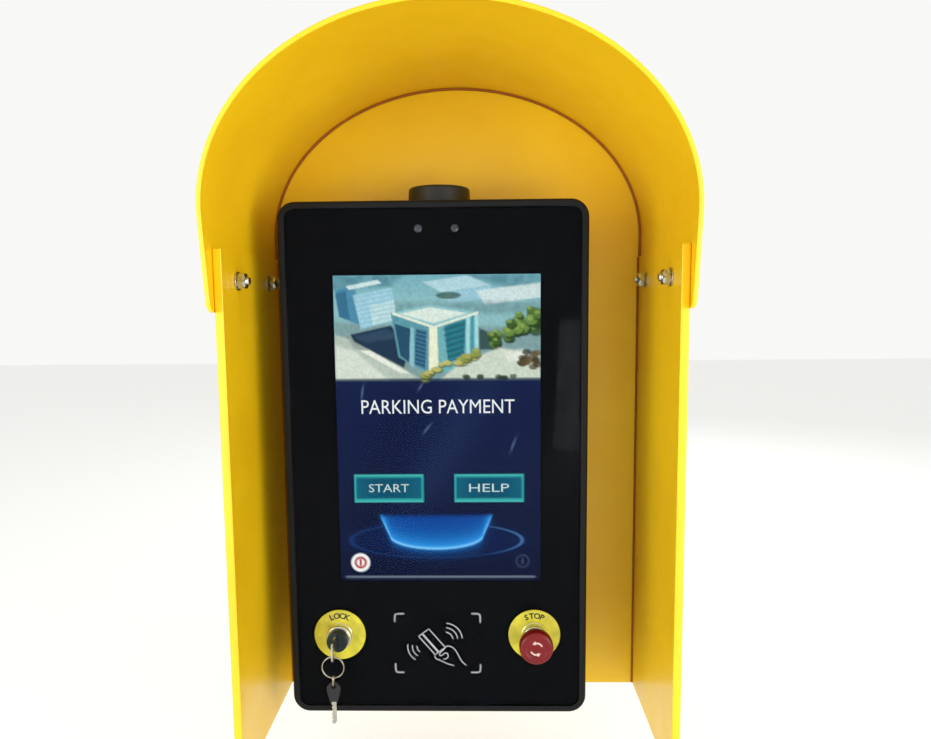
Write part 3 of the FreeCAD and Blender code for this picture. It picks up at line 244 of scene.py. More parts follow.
def finish_piece(name, mesh, material, stands_for=(), body="terminal", bevel=0.0, smooth=40.0, slot=None):
    mesh.materials.clear()
    mesh.materials.append(material)
    mesh.shade_smooth()
    mesh.set_sharp_from_angle(angle=math.radians(smooth))
    piece = bpy.data.objects.new(name, mesh)
    bpy.context.scene.collection.objects.link(piece)
    if bevel:
        edge = piece.modifiers.new("edge", "BEVEL")
        edge.width, edge.segments, edge.limit_method = bevel, 2, "ANGLE"
        edge.angle_limit = math.radians(smooth - 5)
        edge.harden_normals = True
    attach(piece, body)
    if stands_for:
        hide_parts(*stands_for)
        slot = slot or next(s["material_slot"] for s in frame["record"]["subparts"] if s["node"] == stands_for[0])
    return piece


def loft(rows, close_rows=True, caps=True, loop=False):
    """Points and faces that join rows of equally many points."""
    count = len(rows[0])
    points = [p for row in rows for p in row]
    faces = []
    last = len(rows) if loop else len(rows) - 1
    for i in range(last):
        j = (i + 1) % len(rows)
        for k in range(count if close_rows else count - 1):
            n = (k + 1) % count
            faces.append((i * count + k, i * count + n, j * count + n, j * count + k))
    if caps and not loop:
        faces.append(tuple(range(count)))
        faces.append(tuple(range((len(rows) - 1) * count, len(rows) * count)))
    return points, faces


def hood_column(t):
    """Where the arch runs at t: 0 to 1 up the left side, 1 to 2 over the crown, 2 to 3 down the right."""
    side_height = ARCH_SPRING - HOOD_LOW.z
    if t <= 1:
        return lambda o: (-(HALF_WIDTH + SHEET - o), HOOD_LOW.z + t * side_height)
    if t >= 2:
        return lambda o: (HALF_WIDTH + SHEET - o, HOOD_LOW.z + (3 - t) * side_height)
    angle = math.pi * (2 - t)
    a, b = HALF_WIDTH + SHEET, ARCH_RISE + SHEET
    return lambda o: ((a - o) * math.cos(angle), ARCH_SPRING + (b - o) * math.sin(angle))


def hood_front(z):
    """Depth of the hood's front edge at a height, with its rounded lower corner."""
    edge = -HOOD_REACH - (z - ARCH_SPRING) * math.tan(HOOD_RAKE)
    centre_z = HOOD_LOW.z + HOOD_CORNER
    if z >= centre_z:
        return edge
    start = -HOOD_REACH - (HOOD_LOW.z - ARCH_SPRING) * math.tan(HOOD_RAKE)
    centre_y = start + HOOD_CORNER * (1 - math.sin(HOOD_RAKE)) / math.cos(HOOD_RAKE)
    drop = min(1.0, (centre_z - z) / HOOD_CORNER)
    return max(edge, centre_y - HOOD_CORNER * math.sqrt(1 - drop * drop))


def arc(x, z, a, b, start, end, steps):
    """Points round an ellipse about (x, z), from one angle to another, in half turns."""
    angles = [math.pi * (start + (end - start) * i / steps) for i in range(steps + 1)]
    return [(x + a * math.cos(angle), z + b * math.sin(angle)) for angle in angles]


def fold_section(lip):
    """Sheet with its return at the front, as far as the lip: (offset inwards, distance back from the front)."""
    outside = arc(FOLD, FOLD, -FOLD, -FOLD, 0, 0.5, 6)
    inside = arc(FOLD, FOLD, SHEET - FOLD, SHEET - FOLD, 0.5, 0, 6)
    nose = [(lip - COAT_EDGE, 0), (lip, COAT_EDGE), (lip, SHEET - COAT_EDGE), (lip - COAT_EDGE, SHEET)]
    return outside + nose + inside


def hood_mesh():
    corner = [HOOD_CORNER * (1 - math.cos(i * math.pi / 24)) for i in range(13)]
    side_height = ARCH_SPRING - HOOD_LOW.z
    low = [h / side_height for h in corner] + [0.3, 0.5, 0.7, 0.9]
    steps = low + [1 + i / 160 for i in range(161)] + [3 - s for s in reversed(low)]
    rows = []
    for t in steps:
        at = hood_column(t)
        row = []
        back_outer, back_inner = at(0), at(SHEET)
        row.append((back_outer[0], 0.0, back_outer[1]))
        for offset, depth in fold_section(HOOD_LIP):
            x, z = at(offset)
            front = hood_front(z)
            row.append((x, front + depth, z))
        row.append((back_inner[0], 0.0, back_inner[1]))
        rows.append(row)
    return loft(rows)


def middle(node):
    """Middle of a CAD piece's box, as [x, y, z]."""
    return [(low + high) / 2 for low, high in zip(*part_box(node))]


TAB_MIDDLES = (-0.240, -0.080, 0.080)
TAB_HALF, NOTCH_HALF = 0.020, 0.0203


def plate_outline():
    """Closed outline in X and Z: notched sides and an elliptical crown."""
    a, b = HALF_WIDTH, ARCH_RISE
    side = [(a, PLATE_LOW.z)]
    for middle in TAB_MIDDLES:
        low, high = middle - NOTCH_HALF, middle + NOTCH_HALF
        side += [(a, low), (a - SHEET, low), (a - SHEET, high), (a, high)]
    crown = arc(0, ARCH_SPRING, a, b, 0, 1, 160)
    return side + crown + [(-x, z) for x, z in reversed(side)]


def circle(x, z, r, count=32):
    return arc(x, z, r, r, 0, 2, count)[:-1]


def plate_mesh(outer, holes, y0, y1):
    """Flat sheet between two depths, from an outline and its holes."""
    shape = bmesh.new()
    edges = []
    for ring in [outer] + holes:
        verts = [shape.verts.new((x, y0, z)) for x, z in ring]
        edges += [shape.edges.new((verts[i], verts[(i + 1) % len(verts)])) for i in range(len(verts))]
    bmesh.ops.triangle_fill(shape, use_beauty=True, edges=edges)
    grown = bmesh.ops.extrude_face_region(shape, geom=list(shape.faces))
    moved = [v for v in grown["geom"] if isinstance(v, bmesh.types.BMVert)]
    bmesh.ops.translate(shape, verts=moved, vec=(0, y1 - y0, 0))
    bmesh.ops.recalc_face_normals(shape, faces=shape.faces)
    bmesh.ops.dissolve_limit(shape, angle_limit=0.01, verts=shape.verts, edges=shape.edges)
    mesh = bpy.data.meshes.new("plate")
    shape.to_mesh(mesh)
    shape.free()
    return mesh


def wall_mesh(side):
    """Side wall bent round its front return; side is -1 or 1."""
    x1, front, back = HALF_WIDTH, WALL_LOW.y, PLATE_LOW.y
    fold = [(x1 - offset, front + depth) for offset, depth in fold_section(WALL_HIGH.x - WALL_LOW.x)]
    section = [(x1, back)] + fold + [(x1 - SHEET, back)]
    heights = [WALL_LOW.z, WALL_LOW.z + COAT_EDGE, WALL_HIGH.z - COAT_EDGE, WALL_HIGH.z]
    rows = [[(side * x, y, z) for x, y in section] for z in heights]
    points, faces = loft(rows)
    for middle in TAB_MIDDLES:
        tab_low, tab_high = middle - TAB_HALF, middle + TAB_HALF
        start = len(points)
        for z in (tab_low, tab_high):
            points += [(side * (x1 - SHEET), back, z), (side * x1, back, z), (side * x1, 0, z),
                       (side * (x1 - SHEET), 0, z)]
        faces += [tuple(start + k for k in quad) for quad in
                  ((0, 1, 2, 3), (4, 7, 6, 5), (0, 4, 5, 1), (1, 5, 6, 2), (2, 6, 7, 3), (3, 7, 4, 0))]
    return points, faces


yellow = powder_coat_yellow()
mesh_piece("arched_hood", hood_mesh(), yellow, ["hood"])
WALL_HOLE_X, WALL_HOLE_Z, WALL_HOLE_R, ENTRY_R = 0.110, 0.220, 0.0045, 0.020
wall_holes = [circle(sx * WALL_HOLE_X, sz * WALL_HOLE_Z, WALL_HOLE_R) for sx in (-1, 1) for sz in (-1, 1)]
STUD_LOW, STUD_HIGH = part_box("bracket_studs")
STUD_R = 0.003
stud_holes = [circle(x, z, STUD_R, 24) for x in (STUD_LOW.x + STUD_R, STUD_HIGH.x - STUD_R)
              for z in (STUD_LOW.z + STUD_R, STUD_HIGH.z - STUD_R)]
GROMMET_X, _, GROMMET_Z = middle("cable_grommet")
plate = plate_mesh(plate_outline(), wall_holes + stud_holes + [circle(GROMMET_X, GROMMET_Z, ENTRY_R, 48)],
                   PLATE_LOW.y, PLATE_HIGH.y)
finish_piece("arched_back_plate", plate, yellow, ["back_plate"])
for side, node in ((-1, "side_wall_left"), (1, "side_wall_right")):
    mesh_piece(node + "_folded", wall_mesh(side), yellow, [node])


# ---------------------------------------------------------------- joint bead in painted shade
# A dark brown bead in the joint where the hood and the walls meet the back plate: painted shade that stands for the
# dark gap there.
# It follows the arch and runs down both walls to the lower edge.

BEAD_R, BEAD_GAP = 0.0019, 0.001     # its radius, and what it leaves free at the ends of the walls


def geometry_tree(name, inputs):
    """Empty geometry tree with named inputs: (tree, its input node, its output node)."""
    tree = bpy.data.node_groups.new(name, "GeometryNodeTree")
    tree.interface.new_socket("Geometry", in_out="INPUT", socket_type="NodeSocketGeometry")
    for label, kind in inputs:
        tree.interface.new_socket(label, in_out="INPUT", socket_type=kind)
    tree.interface.new_socket("Geometry", in_out="OUTPUT", socket_type="NodeSocketGeometry")
    return tree, tree.nodes.new("NodeGroupInput"), tree.nodes.new("NodeGroupOutput")


def end_tree(tree, start, end, shape):
    """Ends a geometry tree: real geometry with its finish on."""
    real = add_node(tree, "GeometryNodeRealizeInstances", Geometry=shape)
    finish = add_node(tree, "GeometryNodeSetMaterial", Geometry=real.outputs["Geometry"],
                      Material=start.outputs["Finish"])
    tree.links.new(finish.outputs["Geometry"], end.inputs["Geometry"])
    return tree


def grow(name, tree, base, values):
    """Runs a geometry tree on a base mesh with its inputs set, and returns the result as a plain mesh."""
    carrier = bpy.data.objects.new(name + "_base", base)
    bpy.context.scene.collection.objects.link(carrier)
    step = carrier.modifiers.new("grow", "NODES")
    step.node_group = tree
    for item in tree.interface.items_tree:
        if item.item_type == "SOCKET" and item.in_out == "INPUT" and item.name in values:
            step[item.identifier] = values[item.name]
    bpy.context.view_layer.update()
    grown = bpy.data.meshes.new_from_object(carrier.evaluated_get(bpy.context.evaluated_depsgraph_get()))
    carrier.modifiers.remove(step)
    bpy.data.objects.remove(carrier)
    return grown


def wire_tree():
    """Round wire or bead along a path of edges."""
    tree, start, end = geometry_tree("wire_on_path", [("Wire Radius", "NodeSocketFloat"), ("Sides", "NodeSocketInt"),
                                                      ("Finish", "NodeSocketMaterial")])
    path = add_node(tree, "GeometryNodeMeshToCurve", Mesh=start.outputs["Geometry"])
    section = add_node(tree, "GeometryNodeCurvePrimitiveCircle", Resolution=start.outputs["Sides"],
                       Radius=start.outputs["Wire Radius"])
    wire = add_node(tree, "GeometryNodeCurveToMesh", Curve=path.outputs["Curve"],
                    Profile_Curve=section.outputs["Curve"], Fill_Caps=True)
    return end_tree(tree, start, end, wire.outputs["Mesh"])


def path_mesh(points, closed=False):
    mesh = bpy.data.meshes.new("path")
    edges = [(i, i + 1) for i in range(len(points) - 1)]
    mesh.from_pydata([tuple(p) for p in points], edges + ([(len(points) - 1, 0)] if closed else []), [])
    return mesh


def wire_piece(name, points, radius, sides, material, stands_for=(), body="terminal", closed=False, slot=None):
    mesh = grow(name, wire_on_path, path_mesh(points, closed),
                {"Wire Radius": radius, "Sides": sides, "Finish": material})
    return finish_piece(name, mesh, material, stands_for, body, smooth=60, slot=slot)


def patchy_material(name, size, tones, detail=3.0, at=(0.0, 1.0), twist=0.0, gloss=None, relief=None, **values):
    """Material that drifts between two tones over patches of a size in metres.  gloss is its range of roughness
    over them, and relief is (size, detail, twist, strength, depth) of a bump."""
    material, tree, shader, coordinates = new_material(name)
    patches = add_node(tree, "ShaderNodeTexNoise", Vector=coordinates, Scale=1 / size, Detail=detail,
                       Distortion=twist)
    tone = add_node(tree, "ShaderNodeValToRGB", {"stops": zip(at, tones)}, Fac=patches.outputs["Fac"])
    if gloss:
        rough = add_node(tree, "ShaderNodeMapRange", Value=patches.outputs["Fac"], To_Min=gloss[0], To_Max=gloss[1])
        values["Roughness"] = rough.outputs["Result"]
    if relief:
        grain = add_node(tree, "ShaderNodeTexNoise", Vector=coordinates, Scale=1 / relief[0], Detail=relief[1],
                         Distortion=relief[2])
        bump = add_node(tree, "ShaderNodeBump", Height=grain.outputs["Fac"], Strength=relief[3], Distance=relief[4])
        values["Normal"] = bump.outputs["Normal"]
    set_shader(shader, Base_Color=tone.outputs["Color"], **values)
    return material


wire_on_path = wire_tree()
# brown bead with a soft sheen and a slightly uneven skin; its dark brown is painted shade of the joint gap
joint_shade_bead = patchy_material("brown_bead_painted_joint_shade", 0.009, ("#8A4708", "#A8610F"), relief=(0.009, 3.0, 0.0, 0.4, 0.0006),
                          Roughness=0.55, Specular_IOR_Level=0.4)
bead_y = PLATE_LOW.y - 0.3 * BEAD_R
bead_a, bead_b = HALF_WIDTH - 0.6 * BEAD_R, ARCH_RISE - 0.6 * BEAD_R
crown = [(x, bead_y, z) for x, z in arc(0, ARCH_SPRING, bead_a, bead_b, 0, 1, 120)]
# bead round the arch: its dark brown is painted shade in the joint
wire_piece("hood_seam", [(bead_a, bead_y, WALL_HIGH.z)] + crown + [(-bead_a, bead_y, WALL_HIGH.z)], BEAD_R, 12,
           joint_shade_bead, slot="yellow_sheet")
# beads down the inside corners of both walls: their dark brown is painted shade in the corners
for side, label in ((-1, "left"), (1, "right")):
    x = side * (HALF_WIDTH - SHEET - 0.5 * BEAD_R)
    run = [(x, bead_y, WALL_HIGH.z - i * (WALL_HIGH.z - PLATE_LOW.z - 2 * BEAD_GAP) / 40 - BEAD_GAP)
           for i in range(41)]
    wire_piece("wall_seam_" + label, run, 0.8 * BEAD_R, 10, joint_shade_bead, slot="yellow_sheet")


# ---------------------------------------------------------------- hood fasteners
# Four M10 domed socket bolts in zinc-plated steel from outside, with washers on both sides and hexagon nuts
# inside, two on each side of the hood.

BOLT_LOW, BOLT_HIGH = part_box("hood_bolts")
WASHER_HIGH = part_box("hood_washers")[1]
M10_R, M10_HEAD_R, M10_HEAD_T, WASHER_R, WASHER_T = 0.005, 0.0085, 0.005, 0.010, 0.002
NUT_HALF, NUT_T, THREAD_PITCH, THREAD_END = 0.008, 0.0084, 0.0015, 0.0035


def spun(rows, place, count=64, loop=False):
    """Turned shape from rows of (radius, depth); a third number makes that row a polygon with so many flats."""
    rings = []
    for row in rows:
        ring = []
        for i in range(count):
            a = 2 * math.pi * i / count
            radius = row[0]
            if len(row) > 2:
                wedge = 2 * math.pi / row[2]
                radius /= math.cos(a % wedge - wedge / 2)
            ring.append(place(radius * math.cos(a), radius * math.sin(a), row[1]))
        rings.append(ring)
    return loft(rings, caps=False, loop=loop)


def placing_tree():
    """Copies of one piece at the points of a mesh, each turned by the point's own angles."""
    tree, start, end = geometry_tree("pieces_in_place", [("Piece", "NodeSocketObject"), ("Size", "NodeSocketFloat"),
                                                         ("Finish", "NodeSocketMaterial")])
    piece = add_node(tree, "GeometryNodeObjectInfo", Object=start.outputs["Piece"])
    turn = add_node(tree, "GeometryNodeInputNamedAttribute", {"data_type": "FLOAT_VECTOR"}, Name="turn")
    angles = add_node(tree, "FunctionNodeEulerToRotation", Euler=turn.outputs["Attribute"])
    copies = add_node(tree, "GeometryNodeInstanceOnPoints", Points=start.outputs["Geometry"],
                      Instance=piece.outputs["Geometry"], Rotation=angles.outputs["Rotation"],
                      Scale=start.outputs["Size"])
    return end_tree(tree, start, end, copies.outputs["Instances"])


def placed_pieces(name, shape, places, material, stands_for=(), slot=None):
    """One piece made once, then set at places of (point, turn angles), as one mesh."""
    pattern = clean_mesh(name + "_pattern", shape)
    template = bpy.data.objects.new(name + "_pattern", pattern)
    bpy.context.scene.collection.objects.link(template)
    points = bpy.data.meshes.new(name + "_places")
    points.from_pydata([tuple(p) for p, _ in places], [], [])
    turns = points.attributes.new("turn", "FLOAT_VECTOR", "POINT")
    for i, (_, turn) in enumerate(places):
        turns.data[i].vector = turn
    mesh = grow(name, pieces_in_place, points, {"Piece": template, "Size": 1.0, "Finish": material})
    bpy.data.objects.remove(template)
    return finish_piece(name, mesh, material, stands_for, smooth=35, slot=slot)


def along_axis(u, v, depth):
    return (depth, u, v)


def threaded(radius, start, end, pitch):
    """Rows of a screw thread as ridges, from start to end."""
    rows, count = [], max(1, round(abs(end - start) / pitch))
    step = (end - start) / count
    for i in range(count):
        rows += [(radius, start + (i + 0.15) * step), (radius * 0.88, start + (i + 0.6) * step)]
    return rows


def domed_bolt():
    """M10 bolt with its seat at zero: domed head with a hexagon socket, then a threaded shank past the nut."""
    length = (BOLT_HIGH.x - M10_HEAD_T) - (WASHER_HIGH.x - WASHER_T - 2 * SHEET - WASHER_T - NUT_T - THREAD_END)
    head = [(0.0, 0.0018), (0.0028, 0.0018, 6), (0.0030, 0.0020, 6), (0.0030, 0.0046, 6), (0.0036, 0.0050),
            (0.0052, 0.0047), (0.0066, 0.0040), (0.0077, 0.0030), (0.0083, 0.0019), (0.0085, 0.0011), (0.0085, 0.0003),
            (0.0082, 0.0), (M10_R, 0.0), (M10_R, -0.008)]
    end = [(0.0040, -length + 0.0001), (0.0, -length)]
    return spun(head + threaded(M10_R, -0.008, -length + 0.0008, THREAD_PITCH) + end, along_axis, 48)


# bright zinc on turned steel: bluish white metal with cloudy patches and fine scratches
zinc = patchy_material("zinc_plated_steel", 0.006, ("#A9ADA8", "#D3D2C6"), 4.0, (0.3, 0.7), gloss=(0.18, 0.38),
                       relief=(0.0006, 2.0, 0.0, 0.15, 0.0001), Metallic=1.0)
pieces_in_place = placing_tree()
bolt_z = middle("hood_bolts")[2]
bolt_seat = BOLT_HIGH.x - M10_HEAD_T
bolt_rows = (BOLT_LOW.y + M10_HEAD_R, BOLT_HIGH.y - M10_HEAD_R)


def on_both_sides(x):
    """Places at a distance from the centre line, on the right and turned round on the left."""
    return [((side * x, y, bolt_z), (0.0, 0.0, 0.0 if side > 0 else math.pi)) for side in (-1, 1) for y in bolt_rows]


placed_pieces("domed_hood_bolts", domed_bolt(), on_both_sides(bolt_seat), zinc, ["hood_bolts"])
washer = spun([(M10_R + 0.0002, 0.0), (WASHER_R - 0.0003, 0.0), (WASHER_R, 0.0003), (WASHER_R, WASHER_T - 0.0003),
               (WASHER_R - 0.0003, WASHER_T), (M10_R + 0.0002, WASHER_T)], along_axis, 48, loop=True)
washer_places = on_both_sides(WASHER_HIGH.x - WASHER_T) + on_both_sides(WASHER_HIGH.x - 2 * WASHER_T - 2 * SHEET)
placed_pieces("hood_bolt_washers", washer, washer_places, zinc, ["hood_washers"])
nut = spun([(M10_R + 0.0001, 0.0), (NUT_HALF - 0.0004, 0.0), (NUT_HALF, 0.0009, 6), (NUT_HALF, NUT_T - 0.0009, 6),
            (NUT_HALF - 0.0004, NUT_T), (M10_R + 0.0001, NUT_T)], along_axis, 48, loop=True)
placed_pieces("hood_bolt_nuts", nut, on_both_sides(WASHER_HIGH.x - 2 * WASHER_T - 2 * SHEET - NUT_T), zinc,
              ["hood_nuts"])


# ---------------------------------------------------------------- wall side: grommet, bracket and its fasteners
# A rubber grommet in the cable entry, and a folded galvanised bracket on press-in studs that carries the
# terminal by its 100 mm hole grid.


def galvanised_sheet():
    """Hot-dip galvanised sheet: 6 mm spangle, each crystal a little lighter or darker, dull where weathered."""
    material, tree, shader, coordinates = new_material("galvanised_sheet")
    spangle = add_node(tree, "ShaderNodeTexVoronoi", Vector=coordinates, Scale=1 / 0.006)
    tone = add_node(tree, "ShaderNodeValToRGB", {"stops": ((0.0, "#8F9698"), (1.0, "#C3C8C9"))},
                    Fac=spangle.outputs["Color"])
    rough = add_node(tree, "ShaderNodeMapRange", Value=spangle.outputs["Distance"], To_Min=0.35, To_Max=0.55)
    set_shader(shader, Base_Color=tone.outputs["Color"], Roughness=rough.outputs["Result"], Metallic=1.0)
    return material


def softened(node, material, body="terminal", edge=0.0003, smooth=35):
    """A CAD piece with its triangles merged into faces, its edges eased and its round faces smooth."""
    shape = bmesh.new()
    shape.from_mesh(nodes[node].data)
    bmesh.ops.remove_doubles(shape, verts=shape.verts, dist=2e-6)
    bmesh.ops.dissolve_limit(shape, angle_limit=math.radians(0.6), verts=shape.verts, edges=shape.edges)
    mesh = bpy.data.meshes.new(node + "_finished")
    shape.to_mesh(mesh)
    shape.free()
    return finish_piece(node + "_finished", mesh, material, [node], body, edge, smooth)


# EPDM rubber, compression moulded: matt black with a grey bloom
rubber = patchy_material("moulded_epdm_rubber", 0.008, ("#141414", "#2C2C2B"), 5.0,
                         relief=(0.008, 5.0, 0.0, 0.2, 0.0002), Roughness=0.75, Specular_IOR_Level=0.35)
galvanised = galvanised_sheet()


def facing_front(x, z):
    """Places turned rows about an axis that runs front to back through x and z."""
    return lambda u, v, depth: (x + u, depth, z + v)


lip_front, lip_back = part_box("cable_grommet")[0].y, PLATE_LOW.y
grommet = spun([(0.012, 0.0), (0.012, lip_front + 0.0008), (0.0128, lip_front), (0.0235, lip_front),
                (0.0252, lip_front + 0.0006), (0.026, lip_front + 0.0016), (0.026, lip_back - 0.0004),
                (0.0256, lip_back), (ENTRY_R, lip_back), (ENTRY_R, 0.0)], facing_front(GROMMET_X, GROMMET_Z), 72,
               loop=True)
mesh_piece("wall_entry_grommet", grommet, rubber, ["cable_grommet"])
softened("terminal_bracket", galvanised, edge=0.0004)
for node in ("bracket_studs", "bracket_nuts", "bracket_screws", "housing_screws"):
    softened(node, zinc, edge=0.0002)


# ---------------------------------------------------------------- terminal housing, gland and antenna
# Die-cast aluminium housing under a black texture coat, screwed to the front frame from behind, with a
# nylon cable gland below and a moulded antenna puck on top.


def texture_coat_black():
    """Black epoxy texture coat on castings: fine pebbles about 0.8 mm across, drawn at 1.2 mm so that they show."""
    material, tree, shader, coordinates = new_material("black_texture_coat")
    pebble = add_node(tree, "ShaderNodeTexVoronoi", {"feature": "SMOOTH_F1"}, Vector=coordinates, Scale=1 / 0.0012)
    wear = add_node(tree, "ShaderNodeTexNoise", Vector=coordinates, Scale=1 / 0.05, Detail=5.0)
    tone = add_node(tree, "ShaderNodeValToRGB", {"stops": ((0.0, "#101113"), (1.0, "#1C1D20"))},
                    Fac=wear.outputs["Fac"])
    bump = add_node(tree, "ShaderNodeBump", Height=pebble.outputs["Distance"], Strength=0.35, Distance=0.0002)
    set_shader(shader, Base_Color=tone.outputs["Color"], Normal=bump.outputs["Normal"], Roughness=0.5)
    return material


texture_black = texture_coat_black()
# glass-filled nylon, injection moulded: satin black with faint flow marks
nylon_black = patchy_material("moulded_black_nylon", 0.012, ("#0D0E10", "#1B1C1F"), 6.0, twist=1.2,
                              gloss=(0.38, 0.58), relief=(0.0007, 2.0, 0.0, 0.2, 0.0001))
softened("rear_housing", texture_black, edge=0.0005)
softened("cable_gland", nylon_black, edge=0.0004)
PUCK_LOW, PUCK_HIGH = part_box("antenna_puck")
PUCK_X, PUCK_Y, _ = middle("antenna_puck")
PUCK_R = (PUCK_HIGH.x - PUCK_LOW.x) / 2
HOUSING_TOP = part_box("rear_housing")[1].z
PUCK_TOP, TOP_ROUND = PUCK_HIGH.z, 0.0035
puck_slope = 0.0012 / (PUCK_TOP - HOUSING_TOP)


def puck_radius(z):
    """The puck narrows a little towards its top, so that it leaves its mould."""
    return PUCK_R - (z - HOUSING_TOP) * puck_slope


puck_rows = [(0.0, PUCK_LOW.z), (0.0072, PUCK_LOW.z), (0.008, PUCK_LOW.z + 0.0008), (0.008, HOUSING_TOP),
             (PUCK_R - 0.0006, HOUSING_TOP), (PUCK_R - 0.0006, HOUSING_TOP + 0.0009)]
groove = HOUSING_TOP + 0.0055          # parting line between the base and the cap
puck_rows += [(puck_radius(HOUSING_TOP + 0.0015), HOUSING_TOP + 0.0015), (puck_radius(groove), groove),
              (puck_radius(groove) - 0.0006, groove + 0.0003), (puck_radius(groove) - 0.0006, groove + 0.0008),
              (puck_radius(groove), groove + 0.0011)]
shoulder = puck_radius(PUCK_TOP) - TOP_ROUND
puck_rows += arc(shoulder, PUCK_TOP - TOP_ROUND, TOP_ROUND, TOP_ROUND, 0, 0.5, 8)
puck_rows += [(0.026, PUCK_TOP - 0.0001), (0.0254, PUCK_TOP - 0.0005), (0.0, PUCK_TOP - 0.0005)]
puck = spun(puck_rows, lambda u, v, depth: (PUCK_X + u, PUCK_Y + v, depth), 96)
mesh_piece("antenna_cap", puck, nylon_black, ["antenna_puck"])


# ---------------------------------------------------------------- front frame and cover glass
# A milled black frame with rounded edges holds 4 mm anti-reflective glass.  Black ceramic ink on the back of
# the glass hides everything except the display, the two lenses and the holes of the control devices.


def coated_glass():
    """Clear tempered glass with an anti-reflective coat, so it mirrors far less than bare glass would."""
    material, tree, shader, coordinates = new_material("anti_reflective_glass")
    smear = add_node(tree, "ShaderNodeTexNoise", Vector=coordinates, Scale=1 / 0.045, Detail=4.0, Distortion=0.8)
    film = add_node(tree, "ShaderNodeMapRange", Value=smear.outputs["Fac"], From_Min=0.45, From_Max=0.75, To_Min=0.0,
                    To_Max=0.05)
    set_shader(shader, Roughness=film.outputs["Result"], Base_Color=linear("#FBFDFF"), Transmission_Weight=1.0,
               IOR=1.1)
    return material


def dress(node, material):
    """Gives a CAD piece its finish."""
    data = nodes[node].data
    data.materials.clear()
    data.materials.append(material)


# aluminium, bead blasted and anodised black: deep black with a soft cool sheen on the rounded edges
anodised_black = patchy_material("satin_anodised_black", 0.03, ("#07080A", "#101216"), 6.0, gloss=(0.34, 0.48),
                                 relief=(0.0008, 2.0, 0.0, 0.12, 0.0001), Specular_IOR_Level=0.22)
softened("front_frame", anodised_black, edge=0.0004, smooth=30)
clear_cover = coated_glass()
# black ceramic ink fired on the back of the glass: dense blue-black with the faint grain of the screen print
ink_black = patchy_material("black_ceramic_ink", 0.02, ("#030406", "#080A0F"), 4.0, Roughness=0.6,
                            Specular_IOR_Level=0.0)
dress("cover_glass", clear_cover)
INK_SETBACK = 0.00003            # keeps the ink clear of the glass's own back face
ink = nodes["mask_print"].data.copy()
for point in ink.vertices:
    point.co.y += INK_SETBACK
finish_piece("glass_back_print", ink, ink_black, ["mask_print"], smooth=20)
dress("glass_gasket", rubber)


# ---------------------------------------------------------------- display
# A 16 inch LCD module bonded behind the glass.  It shows an aerial picture of a glass office building, a
# title, two buttons and a glowing dish, all generic; the picture glows through vertex colours on a fine grid.

LCD_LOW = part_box("lcd_module")[0]
PICTURE_W, PICTURE_H = 0.2318, 0.3530
PICTURE_CELL = 0.00125
PICTURE_X = middle("front_frame")[0] + 0.00345
PICTURE_Z = 0.0395
PICTURE_Y = LCD_LOW.y - 0.00010
PICTURE_LEFT, PICTURE_TOP = PICTURE_X - PICTURE_W / 2, PICTURE_Z + PICTURE_H / 2

columns = int(PICTURE_W / PICTURE_CELL)
rows = int(PICTURE_H / PICTURE_CELL)
across, down = numpy.meshgrid(numpy.linspace(0, PICTURE_W * 1000, columns + 1),
                              numpy.linspace(0, PICTURE_H * 1000, rows + 1))
chance = numpy.random.default_rng(7)


def rgb(code):
    return numpy.array(linear(code)[:3])


def soft(distance, width=1.0):
    """1 inside, 0 outside, for a distance in millimetres that grows inwards."""
    return numpy.clip(distance / width + 0.5, 0, 1)


def cloud(size, seed):
    """Smooth noise from 0 to 1 with features of a size in millimetres."""
    source = numpy.random.default_rng(seed)
    nx, ny = int(PICTURE_W * 1000 / size) + 3, int(PICTURE_H * 1000 / size) + 3
    grid = source.random((ny, nx))
    x, y = across / size, down / size
    ix, iy = x.astype(int), y.astype(int)
    fx, fy = x - ix, y - iy
    fx, fy = fx * fx * (3 - 2 * fx), fy * fy * (3 - 2 * fy)
    return ((grid[iy, ix] * (1 - fx) + grid[iy, ix + 1] * fx) * (1 - fy)
            + (grid[iy + 1, ix] * (1 - fx) + grid[iy + 1, ix + 1] * fx) * fy)


def paint(colour, mask):
    """Lays a colour over the picture where the mask is 1."""
    global picture
    tint = rgb(colour) if isinstance(colour, str) else colour
    picture = picture * (1 - mask[..., None]) + tint * mask[..., None]


def inside(corners, width=1.2):
    """Soft mask of a convex outline given clockwise in millimetres across and down."""
    mask = numpy.full(across.shape, 1e9)
    for (ax, ay), (bx, by) in zip(corners, corners[1:] + corners[:1]):
        length = math.hypot(bx - ax, by - ay)
        mask = numpy.minimum(mask, ((bx - ax) * (down - ay) - (by - ay) * (across - ax)) / length)
    return soft(mask, width)


def area(colour, strength, width, *corners):
    """Paints a convex outline with a soft edge."""
    paint(colour, strength * inside(corners, width))


def blob(cx, cy, rx, ry, width=0.25):
    """Soft ellipse."""
    return numpy.clip((1 - numpy.sqrt(((across - cx) / rx) ** 2 + ((down - cy) / ry) ** 2)) / width + 0.5, 0, 1)


def band(low, high, width=1.0):
    return soft(down - low, width) * soft(high - down, width)


def bell(distance, width):
    """1 on a line, fading to nothing on both sides of it."""
    return numpy.exp(-(distance / width) ** 2)


def stripes(slope, pitch):
    """Slanted stripes across the picture, so many millimetres apart."""
    return 0.5 + 0.5 * numpy.cos(2 * math.pi * (down + slope * across) / pitch)


navy_high, navy_low = rgb("#142048"), rgb("#0E1633")
depth = numpy.clip((down - 110) / 243, 0, 1)[..., None]
picture = navy_high * (1 - depth) + navy_low * depth
glow_streak = bell(across - 150 + (down - 150) * 0.55, 26) * soft(down - 125, 30) * soft(262 - down, 40)
paint("#24355F", 0.35 * glow_streak)
paint("#0F1630", 0.30 * bell(across - 62 + (down - 190) * 0.4, 22) * soft(down - 125, 30))

